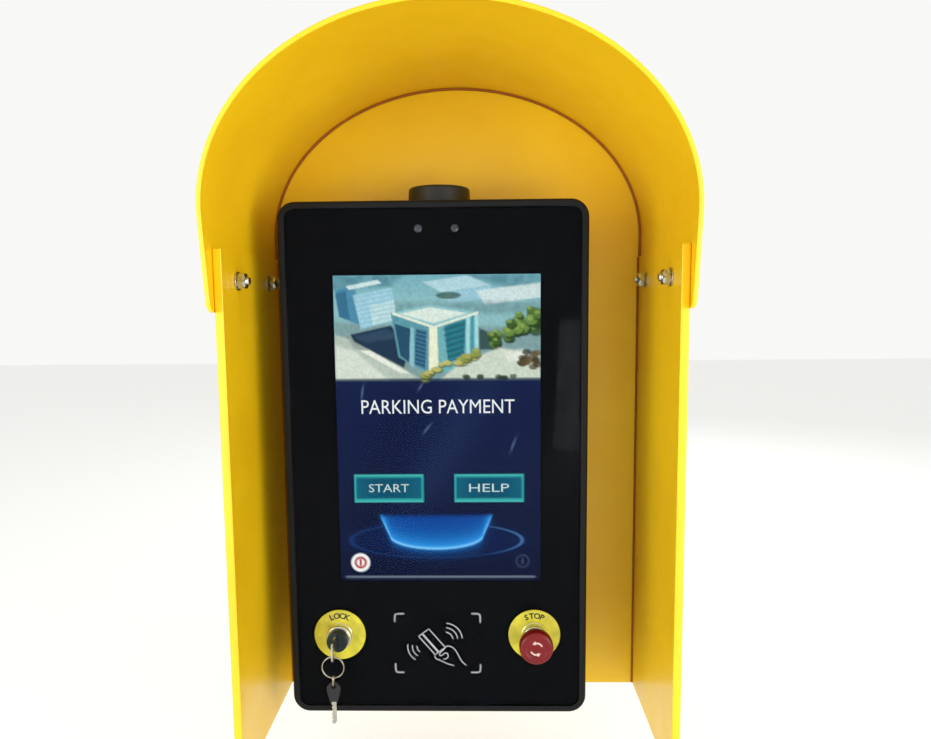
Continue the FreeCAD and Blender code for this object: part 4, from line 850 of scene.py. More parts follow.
# aerial picture: haze and far roofs, the campus, its paving and its planting
scenic = soft(117 - down, 2.0)
sky = numpy.clip(down / 30, 0, 1)[..., None]
ground = rgb("#76B0BC") * (1 - sky) + rgb("#8DBDC0") * sky
picture = picture * (1 - scenic[..., None]) + ground * scenic[..., None]
paint("#3E7481", 0.85 * inside([(0, 0), (78, 0), (66, 12), (0, 16)], 5) * (0.4 + 0.6 * cloud(6, 11)))
paint("#3E7481", 0.7 * inside([(150, 0), (232, 0), (232, 22), (176, 10)], 5) * (0.4 + 0.6 * cloud(6, 12)))
area("#B7D8DE", 0.9, 2, (100, 8), (150, 1), (176, 12), (122, 20))
area("#9CC9D6", 0.9, 2, (122, 20), (176, 12), (180, 26), (128, 32))
area("#D5E5E2", 0.9, 2.5, (160, 18), (232, 10), (232, 26), (170, 34))
paint("#3C5E52", 0.85 * blob(129, 23, 14, 4))
paint("#56787A", 0.6 * band(30, 44, 6) * soft(across - 60, 8) * (0.4 + 0.6 * cloud(5, 15)))
area("#7E9C9C", 0.9, 5, (0, 52), (232, 60), (232, 117), (0, 117))
area("#4E8CA8", 1.0, 1.6, (2, 16), (24, 10), (30, 56), (6, 46))
area("#356A88", 0.85, 1.4, (2, 20), (14, 17), (18, 50), (6, 46))
area("#A5D2DF", 1.0, 1.6, (22, 22), (66, 14), (70, 50), (30, 60))
area("#C6E4E2", 0.9, 1.6, (40, 34), (68, 28), (70, 48), (44, 56))
area("#D8ECEA", 0.9, 1.2, (14, 12), (50, 5), (54, 9), (18, 16))
paint("#6FA7BC", 0.35 * inside([(22, 22), (66, 14), (70, 50), (30, 60)], 1.6) * stripes(0.2, 5.0))
area("#B9C6B8", 1.0, 3, (0, 66), (40, 78), (96, 117), (0, 117))
area("#8F9C94", 0.85, 3, (14, 66), (52, 82), (88, 110), (20, 80))
area("#EDF0E2", 0.95, 1.4, (28, 84), (40, 84), (84, 110), (74, 110))
area("#DCE4D4", 0.8, 3, (0, 78), (24, 86), (60, 117), (0, 117))
area("#22384E", 1.0, 1.6, (18, 66), (64, 56), (84, 84), (78, 104), (22, 74))
paint("#3B556B", 0.7 * inside([(22, 68), (62, 60), (70, 70), (34, 76)], 1.6) * (0.5 + 0.5 * cloud(4, 16)))

# the building: pale roof with a parapet, glazed faces and a cream strip at the corner
area("#8FC3C6", 1.0, 1.4, (64, 42), (108, 33), (162, 42), (112, 58))
area("#DCEADD", 1.0, 1.4, (74, 43), (108, 36), (150, 43), (112, 54))
area("#5F9AA6", 1.0, 1.2, (64, 42), (112, 58), (108, 112), (72, 92))
area("#27506B", 1.0, 1.2, (68, 54), (86, 60), (84, 98), (74, 90))
area("#8FC0C8", 1.0, 0.8, (86, 58), (90, 59), (89, 104), (84, 100))
area("#1F5070", 1.0, 1.0, (92, 60), (104, 62), (102, 106), (90, 100))
paint("#5B93A6", 0.5 * inside([(92, 60), (104, 62), (102, 106), (90, 100)], 1.0) * stripes(-0.3, 4.6))
area("#6FB0B4", 1.0, 1.2, (112, 57), (162, 42), (162, 100), (108, 114))
area("#2D7C88", 1.0, 1.0, (124, 57), (148, 50), (146, 93), (128, 98))
paint("#1F5A69", 0.75 * inside([(122, 57), (148, 50), (146, 93), (128, 98)], 1.0)
      * numpy.clip(1.6 * stripes(0.28, 6.4) - 0.5, 0, 1))
area("#A9DCDC", 0.9, 0.8, (149, 48), (153, 47), (152, 96), (148, 97))
area("#4E97A3", 1.0, 0.8, (154, 46), (158, 45), (157, 95), (153, 96))
area("#A9DCDC", 0.9, 0.8, (158, 45), (162, 43), (162, 94), (158, 95))
area("#EDEFCF", 1.0, 1.0, (107, 57), (116, 57), (117, 107), (106, 110))
area("#E9F0DA", 0.9, 0.8, (66, 41), (112, 57), (112, 60), (66, 44))
area("#E9F0DA", 0.9, 0.8, (112, 57), (162, 41), (162, 44), (112, 60))
area("#1C3A3C", 0.85, 2.5, (163, 60), (178, 66), (188, 84), (163, 84))

# planting: the wood on the right, hedges along the front, and shadows
for place in range(34):
    u = chance.random()
    x, y = 178 + 54 * u + chance.normal() * 3, 74 - 26 * u + chance.normal() * 7
    size = 4 + 4.5 * chance.random()
    paint("#23381F", 0.8 * blob(x + 1.5, y + 2.6, size, size * 0.8))
    paint(("#3F5F2E", "#557A38", "#6C8F43")[int(chance.integers(3))], 0.9 * blob(x, y, size * 0.95, size * 0.75))
    paint("#9DB55E", 0.55 * blob(x - 1.2, y - 1.8, size * 0.45, size * 0.35))
area("#D3DCC8", 0.92, 3, (140, 100), (186, 82), (232, 92), (232, 117), (120, 117))
area("#F0F3E4", 0.6, 4, (190, 86), (212, 84), (222, 96), (196, 98))
for place in range(26):
    u = chance.random()
    x, y = 98 + 76 * u + chance.normal() * 3, 113 - 29 * u + chance.normal() * 2.2
    size = 3 + 2.5 * chance.random()
    paint("#5B6436", 0.7 * blob(x + 0.8, y + 1.6, size * 1.2, size * 0.7))
    paint(("#A7A957", "#8F9C4C", "#C2BD6B")[int(chance.integers(3))], 0.9 * blob(x, y, size * 1.1, size * 0.6))
for place in range(16):
    x, y = 208 + 22 * chance.random(), 86 + 18 * chance.random()
    paint(("#3D3426", "#55482F", "#6B5B3A")[int(chance.integers(3))], 0.85 * blob(x, y, 5, 3.4))
for place in range(9):
    x = 140 + 62 * chance.random()
    paint("#33482A", 0.8 * blob(x, 114 + 2 * chance.random(), 4.0, 2.6))
picture = picture * (1 + 0.22 * scenic[..., None] * (cloud(1.9, 14)[..., None] - 0.5))
paint("#101A38", band(116.2, 118.4, 0.8) * 0.7)

# controls: two buttons, the glowing dish, a ring of light, two round signs and a footer line
for left in (18.3, 133.4):
    right, top, low = left + 79.5, 227.0, 259.5
    outer = soft(across - left) * soft(right - across) * soft(down - top) * soft(low - down)
    core = soft(across - left - 2.4, 1.6) * soft(right - 2.4 - across, 1.6) * soft(down - top - 3.6, 2.4) \
        * soft(low - 4.2 - down, 2.4)
    paint("#2FA9A6", outer)
    paint("#5CC9C0", 0.6 * outer * (soft(top + 1.6 - down) + soft(down - low + 1.6)))
    paint("#0C4A69", 0.96 * core)
    paint("#117089", 0.55 * core * numpy.clip(abs(across - left - 39.7) / 39.7, 0, 1) ** 2)
offset = across - 112
ring = numpy.sqrt((offset / 99) ** 2 + ((down - 305) / 21) ** 2)
paint("#1B4A8C", 0.5 * bell(ring - 1, 0.03))
paint("#5FA0D8", 0.45 * bell(ring - 1, 0.02) * soft(across - 170, 24) * soft(318 - down, 14))
paint("#0C2A66", 0.55 * numpy.clip(1.3 - ring, 0, 1))
under = numpy.where(abs(offset) < 54, 300 + 16 * numpy.sqrt(numpy.clip(1 - (offset / 54) ** 2, 0, 1)),
                    277 + numpy.clip(64 - abs(offset), -20, 10) * 2.3)
height = under - down
bowl = soft(height, 1.4) * soft(down - 276, 6) * soft(65 - abs(offset), 2)
paint("#0A3E90", 0.92 * bowl)
paint("#0F6CC8", bowl * numpy.exp(-numpy.clip(height, 0, 99) / 15))
paint("#34A4EE", bowl * numpy.exp(-numpy.clip(height, 0, 99) / 8.0))
paint("#8FDCFF", 0.7 * bell(height - 1.2, 1.5) * soft(down - 282, 12) * soft(66 - abs(offset), 2))
paint("#1E78D0", 0.6 * numpy.exp(-numpy.clip(-height, 0, 99) / 4.0) * (height < 0) * soft(down - 280, 12)
      * soft(70 - abs(offset), 8))
for (x, y, size, tilt) in ((103, 174, 7, 0.45), (201, 193, 9, 0.6), (30, 132, 8, 0.7), (96, 126, 5, 0.5)):
    along = (across - x) * math.cos(tilt * 2) - (down - y) * math.sin(tilt * 2)
    beside = (across - x) * math.sin(tilt * 2) + (down - y) * math.cos(tilt * 2)
    paint("#7F97C8", 0.5 * bell(along, size) * bell(beside, 0.9))
for x, y, strength, colour, rim, core, bar, tall in ((23.3, 331.5, 1.0, "#B3261F", 7.2, 4.6, 1.3, 4.0),
                                                     (211.5, 330.0, 0.55, "#4A5C7F", 8.0, 6.4, 1.2, 3.6)):
    away = numpy.hypot(across - x, down - y)
    if strength == 1.0:
        paint("#F2F4F2", soft(11.0 - away, 1.4))
    paint(colour, strength * soft(rim - away, 1.4) * soft(away - core, 1.4))
    paint(colour, strength * soft(bar - abs(across - x), 1.2) * soft(tall - abs(down - y), 1.2))
paint("#7C8698", 0.75 * band(347.5, 350.0, 1.2) * soft(across - 6, 4) * soft(226 - across, 4))

picture = numpy.clip(picture, 0.0006, 1.0)
grid_mesh = bpy.data.meshes.new("display_picture")
xs = PICTURE_LEFT + numpy.linspace(0, PICTURE_W, columns + 1)
zs = PICTURE_TOP - numpy.linspace(0, PICTURE_H, rows + 1)
corners = [(x, PICTURE_Y, z) for z in zs for x in xs]
wide = columns + 1
squares = [(j * wide + i, (j + 1) * wide + i, (j + 1) * wide + i + 1, j * wide + i + 1)
           for j in range(rows) for i in range(columns)]
grid_mesh.from_pydata(corners, [], squares)
glow = grid_mesh.attributes.new("glow", "FLOAT_COLOR", "POINT")
glow.data.foreach_set("color", numpy.concatenate([picture.reshape(-1, 3), numpy.ones((wide * (rows + 1), 1))],
                                                 axis=1).astype(numpy.float32).ravel())


def lcd_picture():
    """Lit LCD: even glow with the faint grain of the diffuser film behind it; dark and smooth when off."""
    material, tree, shader, coordinates = new_material("lcd_picture")
    colour = add_node(tree, "ShaderNodeAttribute", {"attribute_name": "glow"})
    film = add_node(tree, "ShaderNodeTexNoise", Vector=coordinates, Scale=1 / 0.0015, Detail=2.0)
    grain = add_node(tree, "ShaderNodeMapRange", Value=film.outputs["Fac"], To_Min=0.94, To_Max=1.06)
    lit = add_node(tree, "ShaderNodeVectorMath", {"operation": "SCALE"}, Vector=colour.outputs["Color"],
                   Scale=grain.outputs["Result"])
    set_shader(shader, Emission_Color=lit.outputs["Vector"], Base_Color=linear("#000000"), Roughness=0.5,
               Specular_IOR_Level=0.0, Emission_Strength=1.0)
    return material


# black film edge of the LCD cell over its pressed steel back: near black, slightly glossy, finely grained
dress("lcd_module", patchy_material("lcd_black_film", 0.004, ("#050608", "#0C0E12"), Roughness=0.35))
picture_glow = lcd_picture()
grid_mesh.materials.append(picture_glow)
screen = bpy.data.objects.new("display_picture", grid_mesh)
bpy.context.scene.collection.objects.link(screen)
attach(screen, "terminal")


def letter_shape(words, height, width=None, deep=0.00012, weight=0.0):
    """Closed letters centred on zero: points across, up and forward, and their faces."""
    curve = bpy.data.curves.new("letters", "FONT")
    curve.body = words
    curve.resolution_u = 3
    curve.extrude = 0.5
    curve.offset = weight
    carrier = bpy.data.objects.new("letters", curve)
    bpy.context.scene.collection.objects.link(carrier)
    bpy.context.view_layer.update()
    mesh = bpy.data.meshes.new_from_object(carrier.evaluated_get(bpy.context.evaluated_depsgraph_get()))
    bpy.data.objects.remove(carrier)
    low = [min(v.co[i] for v in mesh.vertices) for i in range(2)]
    high = [max(v.co[i] for v in mesh.vertices) for i in range(2)]
    tall = height / (high[1] - low[1])
    wide = width / (high[0] - low[0]) if width else tall
    points = [((v.co.x - (low[0] + high[0]) / 2) * wide, (v.co.y - (low[1] + high[1]) / 2) * tall,
               deep if v.co.z > 0 else 0.0) for v in mesh.vertices]
    return points, [tuple(p.vertices) for p in mesh.polygons]


def lit_lettering(name, code, gain):
    """Bright strokes of the display, glowing a little unevenly."""
    material, tree, shader, coordinates = new_material(name)
    film = add_node(tree, "ShaderNodeTexNoise", Vector=coordinates, Scale=1 / 0.004)
    tone = add_node(tree, "ShaderNodeValToRGB", Fac=film.outputs["Fac"])
    base = linear(code)
    tone.color_ramp.elements[0].color = [c * 0.9 for c in base[:3]] + [1.0]
    tone.color_ramp.elements[1].color = base
    set_shader(shader, Emission_Color=tone.outputs["Color"], Base_Color=linear("#000000"), Emission_Strength=gain,
               Roughness=0.5, Specular_IOR_Level=0.0)
    return material


white_text = lit_lettering("lit_white_text", "#F2F6F6", 0.95)
pale_text = lit_lettering("lit_button_text", "#CFE8E4", 0.9)
for name, words, mm_across, mm_down, height, width, ink_light in (
        ("display_title", "PARKING PAYMENT", 115.6, 148.5, 0.0160, 0.174, white_text),
        ("display_button_start", "START", 58.0, 243, 0.0095, 0.046, pale_text),
        ("display_button_help", "HELP", 173.2, 243, 0.0095, 0.046, pale_text)):
    x, z = PICTURE_LEFT + mm_across / 1000, PICTURE_TOP - mm_down / 1000
    points, faces = letter_shape(words, height, width)
    upright = [(x + u, PICTURE_Y - 0.00002 - d, z + w) for u, w, d in points]
    mesh_piece(name, (upright, faces), ink_light, smooth=20, slot="display")


# ---------------------------------------------------------------- electronics behind the display
# A galvanised chassis plate carries the LCD and, on brass standoffs, the main board with its heat sink; the
# power supply, terminal strip, card reader, speaker and camera module sit round it on the frame.


def circuit_laminate():
    """Green solder mask over glass laminate: traces and pads read as lighter blocks 2 mm apart."""
    material, tree, shader, coordinates = new_material("circuit_laminate")
    traces = add_node(tree, "ShaderNodeTexBrick", Vector=coordinates, Scale=1 / 0.012)
    traces.inputs["Color1"].default_value = linear("#0E4A2C")
    traces.inputs["Color2"].default_value = linear("#125A35")
    traces.inputs["Mortar"].default_value = linear("#1C7A49")
    bump = add_node(tree, "ShaderNodeBump", Height=traces.outputs["Fac"], Strength=0.3, Distance=0.0002)
    set_shader(shader, Base_Color=traces.outputs["Color"], Normal=bump.outputs["Normal"], Roughness=0.3)
    return material


def brushed_aluminium():
    """Mill-finish aluminium with a brushed grain along X, 0.3 mm apart."""
    material, tree, shader, coordinates = new_material("brushed_aluminium")
    stretch = add_node(tree, "ShaderNodeMapping", Vector=coordinates)
    stretch.inputs["Scale"].default_value = (40.0, 1 / 0.0006, 1 / 0.0006)
    grain = add_node(tree, "ShaderNodeTexNoise", Vector=stretch.outputs["Vector"], Scale=1.0, Detail=3.0)
    rough = add_node(tree, "ShaderNodeMapRange", Value=grain.outputs["Fac"], To_Min=0.28, To_Max=0.5)
    tone = add_node(tree, "ShaderNodeValToRGB", {"stops": ((0.0, "#A7AAAC"), (1.0, "#CFD1D2"))},
                    Fac=grain.outputs["Fac"])
    set_shader(shader, Base_Color=tone.outputs["Color"], Roughness=rough.outputs["Result"], Metallic=1.0)
    return material


def turned_brass():
    """Free-cutting brass, turned: warm metal with tool rings 0.4 mm apart."""
    material, tree, shader, coordinates = new_material("turned_brass")
    rings = add_node(tree, "ShaderNodeTexWave", {"bands_direction": "Y"}, Vector=coordinates, Scale=1 / 0.0025,
                     Distortion=1.0)
    tone = add_node(tree, "ShaderNodeValToRGB", {"stops": ((0.0, "#B08A3E"), (1.0, "#D6B163"))},
                    Fac=rings.outputs["Fac"])
    set_shader(shader, Base_Color=tone.outputs["Color"], Metallic=1.0, Roughness=0.28)
    return material


laminate = circuit_laminate()
aluminium = brushed_aluminium()
brass = turned_brass()
for material, pieces in ((galvanised, ("chassis_plate",)), (brass, ("board_standoffs",)), (laminate, ("main_board",)),
                         (aluminium, ("heat_sink", "power_supply")),
                         (zinc, ("chassis_screws", "board_screws", "camera_screws", "antenna_nut")),
                         (nylon_black, ("terminal_block", "card_reader", "camera_module", "speaker", "gland_nut",
                                        "key_switch_nut", "key_contact_block", "key_contact_plunger", "estop_nut",
                                        "estop_contact_block", "estop_contact_plunger"))):
    for node in pieces:
        dress(node, material)


# ---------------------------------------------------------------- camera lenses
# Two coated lenses of moulded polycarbonate in the camera module, behind clear windows of the ink.


def coated_lens():
    """Polycarbonate lens: dark, high gloss, with the violet cast of its coating towards the edge."""
    material, tree, shader, coordinates = new_material("coated_lens")
    edge = add_node(tree, "ShaderNodeLayerWeight", Blend=0.4)
    tone = add_node(tree, "ShaderNodeValToRGB", {"stops": ((0.0, "#0B0E1C"), (1.0, "#3A2A5C"))},
                    Fac=edge.outputs["Facing"])
    cast = add_node(tree, "ShaderNodeTexNoise", Vector=coordinates, Scale=1 / 0.006)
    rough = add_node(tree, "ShaderNodeMapRange", Value=cast.outputs["Fac"], To_Min=0.03, To_Max=0.09)
    set_shader(shader, Base_Color=tone.outputs["Color"], Roughness=rough.outputs["Result"], Coat_Weight=1.0,
               Coat_Roughness=0.02)
    return material


lens_coat = coated_lens()
LENS_LOW, LENS_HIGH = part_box("camera_lenses")
LENS_Z = middle("camera_lenses")[2]
LENS_R = (LENS_HIGH.z - LENS_LOW.z) / 2
dome = arc(0, LENS_LOW.y + 0.0012, LENS_R, -0.0012, 0.5, 0, 12)
lens = spun(dome + [(LENS_R, LENS_HIGH.y), (0.0, LENS_HIGH.y)], facing_front(0.0, 0.0), 48)
placed_pieces("domed_lenses", lens,
              [((x, 0.0, LENS_Z), (0.0, 0.0, 0.0)) for x in (LENS_LOW.x + LENS_R, LENS_HIGH.x - LENS_R)],
              lens_coat, ["camera_lenses"])


# ---------------------------------------------------------------- card zone
# Contactless card zone in front of the reader, silk-screened in white on the glass: four corner marks round
# a hand that holds a card, with three arcs of waves.

GLASS_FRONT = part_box("cover_glass")[0].y
PRINT_T = 0.0001
ZONE_LEFT, ZONE_RIGHT, ZONE_LOW, ZONE_HIGH = -0.0745, 0.027, -0.2486, -0.175

# white silk-screen ink on glass: matt, a little grey where the mesh left it thin
white_ink = patchy_material("screen_print_white", 0.005, ("#8D939A", "#B9BEC4"), 4.0, Roughness=0.6)


def stroke(points, width, closed=False):
    """Flat closed ribbon on the glass along points in X and Z."""
    path = [Vector((x, z)) for x, z in points]
    count = len(path)
    rows = []
    for i, p in enumerate(path):
        before, after = path[i - 1 if closed or i else 0], path[(i + 1) % count if closed or i < count - 1 else i]
        along = (after - before).normalized()
        side = Vector((-along.y, along.x)) * (width / 2)
        rows.append([(p.x + side.x, GLASS_FRONT, p.y + side.y), (p.x + side.x, GLASS_FRONT - PRINT_T, p.y + side.y),
                     (p.x - side.x, GLASS_FRONT - PRINT_T, p.y - side.y), (p.x - side.x, GLASS_FRONT, p.y - side.y)])
    return loft(rows, caps=not closed, loop=closed)


def curve_through(points, steps):
    """Smooth open line through points (Catmull-Rom)."""
    line, last = [], len(points) - 1
    for i in range(last):
        p = [Vector(points[min(max(i + k - 1, 0), last)]) for k in range(4)]
        for j in range(steps):
            t = j / steps
            line.append(0.5 * (2 * p[1] + (p[2] - p[0]) * t + (2 * p[0] - 5 * p[1] + 4 * p[2] - p[3]) * t * t
                               + (3 * p[1] - 3 * p[2] + p[3] - p[0]) * t ** 3))
    return line + [Vector(points[-1])]


def add_shape(whole, part):
    """Adds a part's points and faces to a whole."""
    start = len(whole[0])
    whole[0].extend(part[0])
    whole[1].extend([tuple(i + start for i in face) for face in part[1]])


corner_mark = stroke(curve_through([(0.0009, -0.011), (0.0009, -0.006), (0.0016, -0.0021), (0.0052, -0.0009),
                                    (0.0085, -0.0009), (0.012, -0.0009)], 6), 0.0018)
placed_pieces("card_zone_corners", corner_mark,
              [((ZONE_LEFT, 0.0, ZONE_HIGH), (0, 0, 0)), ((ZONE_RIGHT, 0.0, ZONE_HIGH), (0, math.pi / 2, 0)),
               ((ZONE_RIGHT, 0.0, ZONE_LOW), (0, math.pi, 0)), ((ZONE_LEFT, 0.0, ZONE_LOW), (0, -math.pi / 2, 0))],
              white_ink, slot="black_print")
sign = ([], [])
sign_x, sign_z = -0.025, -0.2114


def on_sign(points):
    """Points in millimetres from the middle of the sign, up and to the right."""
    return [(sign_x + x / 1000, sign_z + z / 1000) for x, z in points]


LINE = 0.0012
card = on_sign([(-21.0, 8.0), (-9.0, 17.0), (10.0, -5.5), (-2.0, -14.5)])
add_shape(sign, stroke([Vector(a) * (1 - t / 6) + Vector(b) * (t / 6)
                        for a, b in zip(card, card[1:] + card[:1]) for t in range(6)], LINE, closed=True))
add_shape(sign, stroke(on_sign([(-16.8, 11.2), (2.0, -11.2)]), 0.0022))
for reach in (9.0, 14.5, 20.0):
    add_shape(sign, stroke(on_sign(arc(10, 4, reach, reach, 1 / 36, 17 / 36, 16)), LINE))
for reach in (7.0, 12.5, 18.0):
    add_shape(sign, stroke(on_sign(arc(-16, -5, -reach, -reach, -2 / 36, 12 / 36, 14)), LINE))
for line in ([(34.5, -27.5), (29.0, -22.5), (25.5, -15.5), (21.5, -8.5), (16.5, -4.6), (11.8, -4.2), (8.2, -8.0),
              (4.2, -12.0), (3.4, -14.8), (5.6, -15.6), (10.0, -12.4), (12.8, -13.4)],
             [(-2.5, -15.6), (-1.0, -19.4), (3.4, -21.2), (8.0, -23.6), (13.4, -26.0), (20.0, -27.8)],
             [(12.8, -13.4), (13.2, -17.0), (10.6, -19.6), (7.6, -19.8)]):
    add_shape(sign, stroke([tuple(p) for p in curve_through(on_sign(line), 6)], LINE))
mesh_piece("card_zone_sign", sign, white_ink, slot="black_print")


# ---------------------------------------------------------------- legend plates
# Round yellow laminate plates under both control devices, with dark engraved words on their upper arc.

PLATE_KEY_LOW, PLATE_KEY_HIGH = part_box("key_plate")
LEGEND_R = (PLATE_KEY_HIGH.x - PLATE_KEY_LOW.x) / 2
(KEY_X, _, DEVICE_Z), STOP_X = middle("key_plate"), middle("estop_plate")[0]
LEGEND_FRONT, LEGEND_BACK = PLATE_KEY_LOW.y, PLATE_KEY_HIGH.y
LEGEND_HOLE = 0.01125

# two-ply engraving laminate: satin plastic with rubbed, slightly dirty patches, and the dark core that cutting bares
legend_yellow = patchy_material("engraved_laminate_yellow", 0.014, ("#B3A925", "#CFC632"), 5.0, (0.35, 0.6),
                                gloss=(0.35, 0.55))
legend_ink = patchy_material("engraved_laminate_core", 0.014, ("#16171C", "#23242A"), 5.0, (0.35, 0.6),
                             gloss=(0.35, 0.55))


def words_on_arc(name, words, x, radius, height, step):
    """Letters stood round the top of a plate, reading clockwise."""
    whole = ([], [])
    for i, letter in enumerate(words):
        turn = ((len(words) - 1) / 2 - i) * step
        c, s = math.cos(turn), math.sin(turn)
        points, faces = letter_shape(letter, height, deep=0.0002, weight=0.03)
        placed = [(x - radius * s + u * c - w * s, LEGEND_FRONT - d, DEVICE_Z + radius * c + u * s + w * c)
                  for u, w, d in points]
        add_shape(whole, (placed, faces))
    mesh_piece(name, whole, legend_ink, smooth=20, slot="yellow_legend")


for name, node, x in (("key_legend_plate", "key_plate", KEY_X), ("stop_legend_plate", "estop_plate", STOP_X)):
    disc = spun([(LEGEND_HOLE, LEGEND_BACK), (LEGEND_HOLE, LEGEND_FRONT), (LEGEND_R - 0.0005, LEGEND_FRONT),
                 (LEGEND_R - 0.0001, LEGEND_FRONT + 0.0002), (LEGEND_R, LEGEND_FRONT + 0.0005),
                 (LEGEND_R, LEGEND_BACK)], facing_front(x, DEVICE_Z), 96, loop=True)
    mesh_piece(name, disc, legend_yellow, [node])
words_on_arc("key_legend_word", "LOCK", KEY_X, 0.0232, 0.0070, math.radians(15.5))
words_on_arc("stop_legend_word", "STOP", STOP_X, 0.0232, 0.0070, math.radians(15.5))


# ---------------------------------------------------------------- key switch
# A 22 mm lock switch: plated collar with a groove, dark rotor, and a nickel-plated key whose bow
# carries a split ring, a wire link and a spare key with a moulded head.

# satin chrome plate on die-cast zinc: pale warm metal, polished on the rim and handled dull in patches
chrome = patchy_material("satin_chrome_plate", 0.008, ("#C9C7B0", "#E9E8DA"), 4.0, gloss=(0.14, 0.32), Metallic=1.0)
# nickel plate on brass, as on keys and rings: slightly yellow grey metal with fine scratches
nickel = patchy_material("nickel_plate", 0.004, ("#A3A096", "#D8D5CB"), 5.0, relief=(0.0004, 2.0, 2.0, 0.15, 0.00005),
                         Metallic=1.0, Roughness=0.24)
# chemically blackened brass: dark blue-grey, warmer where the edges are rubbed
black_brass = patchy_material("blackened_brass", 0.005, ("#161F22", "#34403F"), 4.0, gloss=(0.25, 0.4), Metallic=0.7)
SWITCH_LOW, SWITCH_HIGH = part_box("key_switch_body")
KEY_COLLAR_R = (SWITCH_HIGH.x - SWITCH_LOW.x) / 2
BARREL_BORE, DEVICE_R = 0.00705, 0.011
collar_front, device_rear = SWITCH_LOW.y, SWITCH_HIGH.y


def collar(bore_rows, radius, front):
    """Rows of a 22 mm device: its bore, a round rim, a groove before the plate, and a threaded stem."""
    band = [(0.0, 0.0026), (0.0005, 0.0022), (0.0005, 0.0014), (0.0, 0.0010), (0.0, 0.0)]
    return bore_rows + arc(radius - 0.0016, front + 0.0016, 0.0016, -0.0016, 0.5, 0, 6) \
        + [(radius - step, LEGEND_FRONT - ahead) for step, ahead in band] + [(DEVICE_R, LEGEND_FRONT)] \
        + threaded(DEVICE_R, LEGEND_FRONT + 0.006, device_rear - 0.001, 0.001) + [(DEVICE_R - 0.0006, device_rear)]


key_collar = collar([(BARREL_BORE, device_rear), (BARREL_BORE, collar_front), (0.0121, collar_front),
                     (0.0124, collar_front + 0.0003)], KEY_COLLAR_R, collar_front)
mesh_piece("key_switch_collar", spun(key_collar, facing_front(KEY_X, DEVICE_Z), 96, loop=True), chrome,
           ["key_switch_body"])
softened("key_barrel", black_brass, "key_barrel", 0.00025)
softened("key", nickel, "key", 0.0004)
RING_LOW, RING_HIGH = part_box("key_ring")
RING_WIRE = (RING_HIGH.y - RING_LOW.y) / 2
RING_R = (RING_HIGH.z - RING_LOW.z) / 2 - RING_WIRE
_, RING_Y, RING_Z = middle("key_ring")
wire = RING_WIRE * 0.52            # two turns of flattened wire lie side by side
coil = []
for i in range(193):
    a = -1.1 + 4 * math.pi * i / 192
    step = math.tanh((i - 96) / 9.0)
    coil.append((KEY_X + RING_R * math.cos(a), RING_Y + step * (RING_WIRE - wire), RING_Z + RING_R * math.sin(a)))
wire_piece("split_key_ring", coil, wire, 16, nickel, ["key_ring"], "key_ring")
LINK_LOW, LINK_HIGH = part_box("key_link")
LINK_WIRE = (LINK_HIGH.x - LINK_LOW.x) / 2
link_r = (LINK_HIGH.y - LINK_LOW.y) / 2 - LINK_WIRE
link_y = middle("key_link")[1]
link_top, link_low = LINK_HIGH.z - LINK_WIRE - link_r, LINK_LOW.z + LINK_WIRE + link_r
oval = arc(link_y, link_top, link_r, link_r, 0, 1, 20) + arc(link_y, link_low, -link_r, -link_r, 0, 1, 20)
wire_piece("key_link_wire", [(KEY_X, y, z) for y, z in oval], LINK_WIRE, 16, nickel,
           ["key_link"], "key_link", closed=True)
softened("spare_key", nickel, "spare_key", 0.0003)
softened("spare_key_head", nylon_black, "spare_key", 0.0006)


# ---------------------------------------------------------------- emergency stop
# Red mushroom head of moulded polycarbonate with two pale arrows in its dished face, on a black stem with a
# return spring, in a plated collar; it is pushed to stop and twisted to release.

STOP_LOW, STOP_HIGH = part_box("estop_body")
HEAD_LOW, HEAD_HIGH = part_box("estop_button")
STOP_COLLAR_R = (STOP_HIGH.x - STOP_LOW.x) / 2
HEAD_R = (HEAD_HIGH.x - HEAD_LOW.x) / 2
head_front, head_neck = HEAD_LOW.y, HEAD_HIGH.y
HEAD_T, NECK_R, TIP_R, TIP_START = 0.014, 0.010, 0.00605, 0.0077
STEM_BORE, WELL_R, WELL_DEPTH = 0.00805, 0.01115, 0.008

# red polycarbonate, gloss moulded: deep colour under a clear skin, with scuffs that catch the light
red_moulding = patchy_material("moulded_red_polycarbonate", 0.009, ("#5C060C", "#7C0B12"), 6.0, gloss=(0.22, 0.42),
                               Coat_Weight=0.1, Coat_Roughness=0.1, Specular_IOR_Level=0.3)
# pale pad-printed ink on the button: matt, worn thin in places
arrow_ink = patchy_material("pad_printed_arrow", 0.003, ("#B98A86", "#DEC6C0"), 4.0, Roughness=0.5)
well_floor = STOP_LOW.y + WELL_DEPTH
stop_collar = collar([(STEM_BORE, device_rear), (STEM_BORE, well_floor), (WELL_R, well_floor),
                      (WELL_R, STOP_LOW.y), (0.0126, STOP_LOW.y)], STOP_COLLAR_R, STOP_LOW.y)
mesh_piece("stop_switch_collar", spun(stop_collar, facing_front(STOP_X, DEVICE_Z), 96, loop=True), chrome,
           ["estop_body"])


def head_face(radius):
    """Depth of the dished face at a radius: a flat dish, a rolled crest and a round shoulder."""
    dish, crest = HEAD_R - 0.009, HEAD_R - 0.005
    if radius <= dish:
        return head_front + 0.0012
    if radius <= crest:
        t = (radius - dish) / (crest - dish)
        return head_front + 0.0012 * (0.5 + 0.5 * math.cos(math.pi * t))
    t = (radius - crest) / (HEAD_R - crest)
    return head_front + 0.0036 * (1 - math.sqrt(max(0.0, 1 - t * t)))


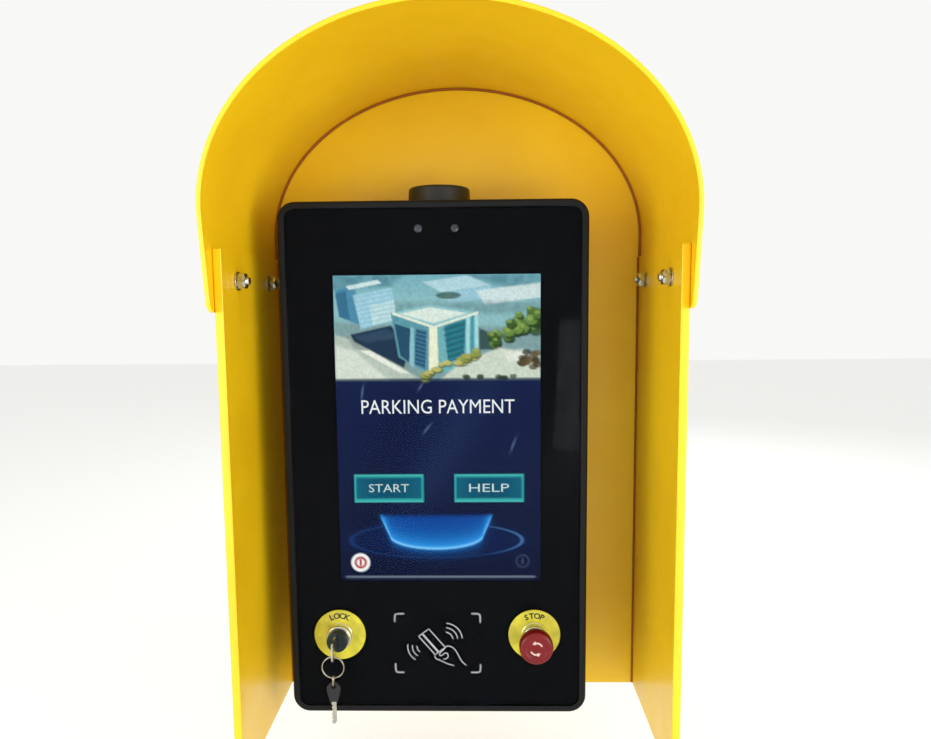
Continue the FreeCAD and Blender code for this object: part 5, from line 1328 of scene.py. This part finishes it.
head_back = head_front + HEAD_T
head_rows = [(HEAD_R * i / 36, head_face(HEAD_R * i / 36)) for i in range(37)]
head_rows += [(HEAD_R, head_back - 0.003), (HEAD_R - 0.0002, head_back - 0.0018), (HEAD_R - 0.0010, head_back - 0.0006),
              (HEAD_R - 0.0022, head_back), (NECK_R + 0.0008, head_back), (NECK_R, head_back + 0.0006),
              (NECK_R, head_neck), (TIP_R, head_neck), (TIP_R, head_front + TIP_START), (0.0, head_front + TIP_START)]
mesh_piece("stop_mushroom_head", spun(head_rows, facing_front(STOP_X, DEVICE_Z), 128), red_moulding, ["estop_button"],
           "estop_head", smooth=50)
arrows = ([], [])
for turn in (0.0, math.pi):
    rows = []
    for i in range(25):
        a = turn + math.radians(25 + 105 * i / 24)
        half = 0.0009 if i < 17 else 0.0024 * (24.4 - i) / 7.4
        inner, outer = 0.0068 - half, 0.0068 + half
        row = []
        for radius, lift in ((inner, -0.00002), (inner, 0.00012), (outer, 0.00012), (outer, -0.00002)):
            row.append((STOP_X + radius * math.cos(a), head_face(radius) - lift, DEVICE_Z + radius * math.sin(a)))
        rows.append(row)
    add_shape(arrows, loft(rows))
mesh_piece("stop_release_arrows", arrows, arrow_ink, body="estop_head", smooth=20, slot="red_button")
softened("estop_stem", nylon_black, "estop_plunger", 0.0002)
# drawn spring steel: bright grey wire with die lines and a trace of oil
spring_steel = patchy_material("drawn_spring_steel", 0.004, ("#A3A096", "#D8D5CB"), 5.0,
                               relief=(0.0004, 2.0, 2.0, 0.15, 0.00005), Metallic=1.0, Roughness=0.24)
SPRING_LOW, SPRING_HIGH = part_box("estop_spring")
SPRING_WIRE, SPRING_TURNS, STOP_TRAVEL = 0.0007, 4, 0.005
spring_r = (SPRING_HIGH.x - SPRING_LOW.x) / 2 - SPRING_WIRE
spring_start, spring_end = SPRING_LOW.y + SPRING_WIRE, SPRING_HIGH.y - SPRING_WIRE
helix = [(STOP_X + spring_r * math.cos(2 * math.pi * i / 36), spring_start + (spring_end - spring_start) * i
          / (36 * SPRING_TURNS), DEVICE_Z + spring_r * math.sin(2 * math.pi * i / 36))
         for i in range(36 * SPRING_TURNS + 1)]
spring = wire_piece("stop_return_spring", helix, SPRING_WIRE, 14, spring_steel, ["estop_spring"])
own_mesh(spring)
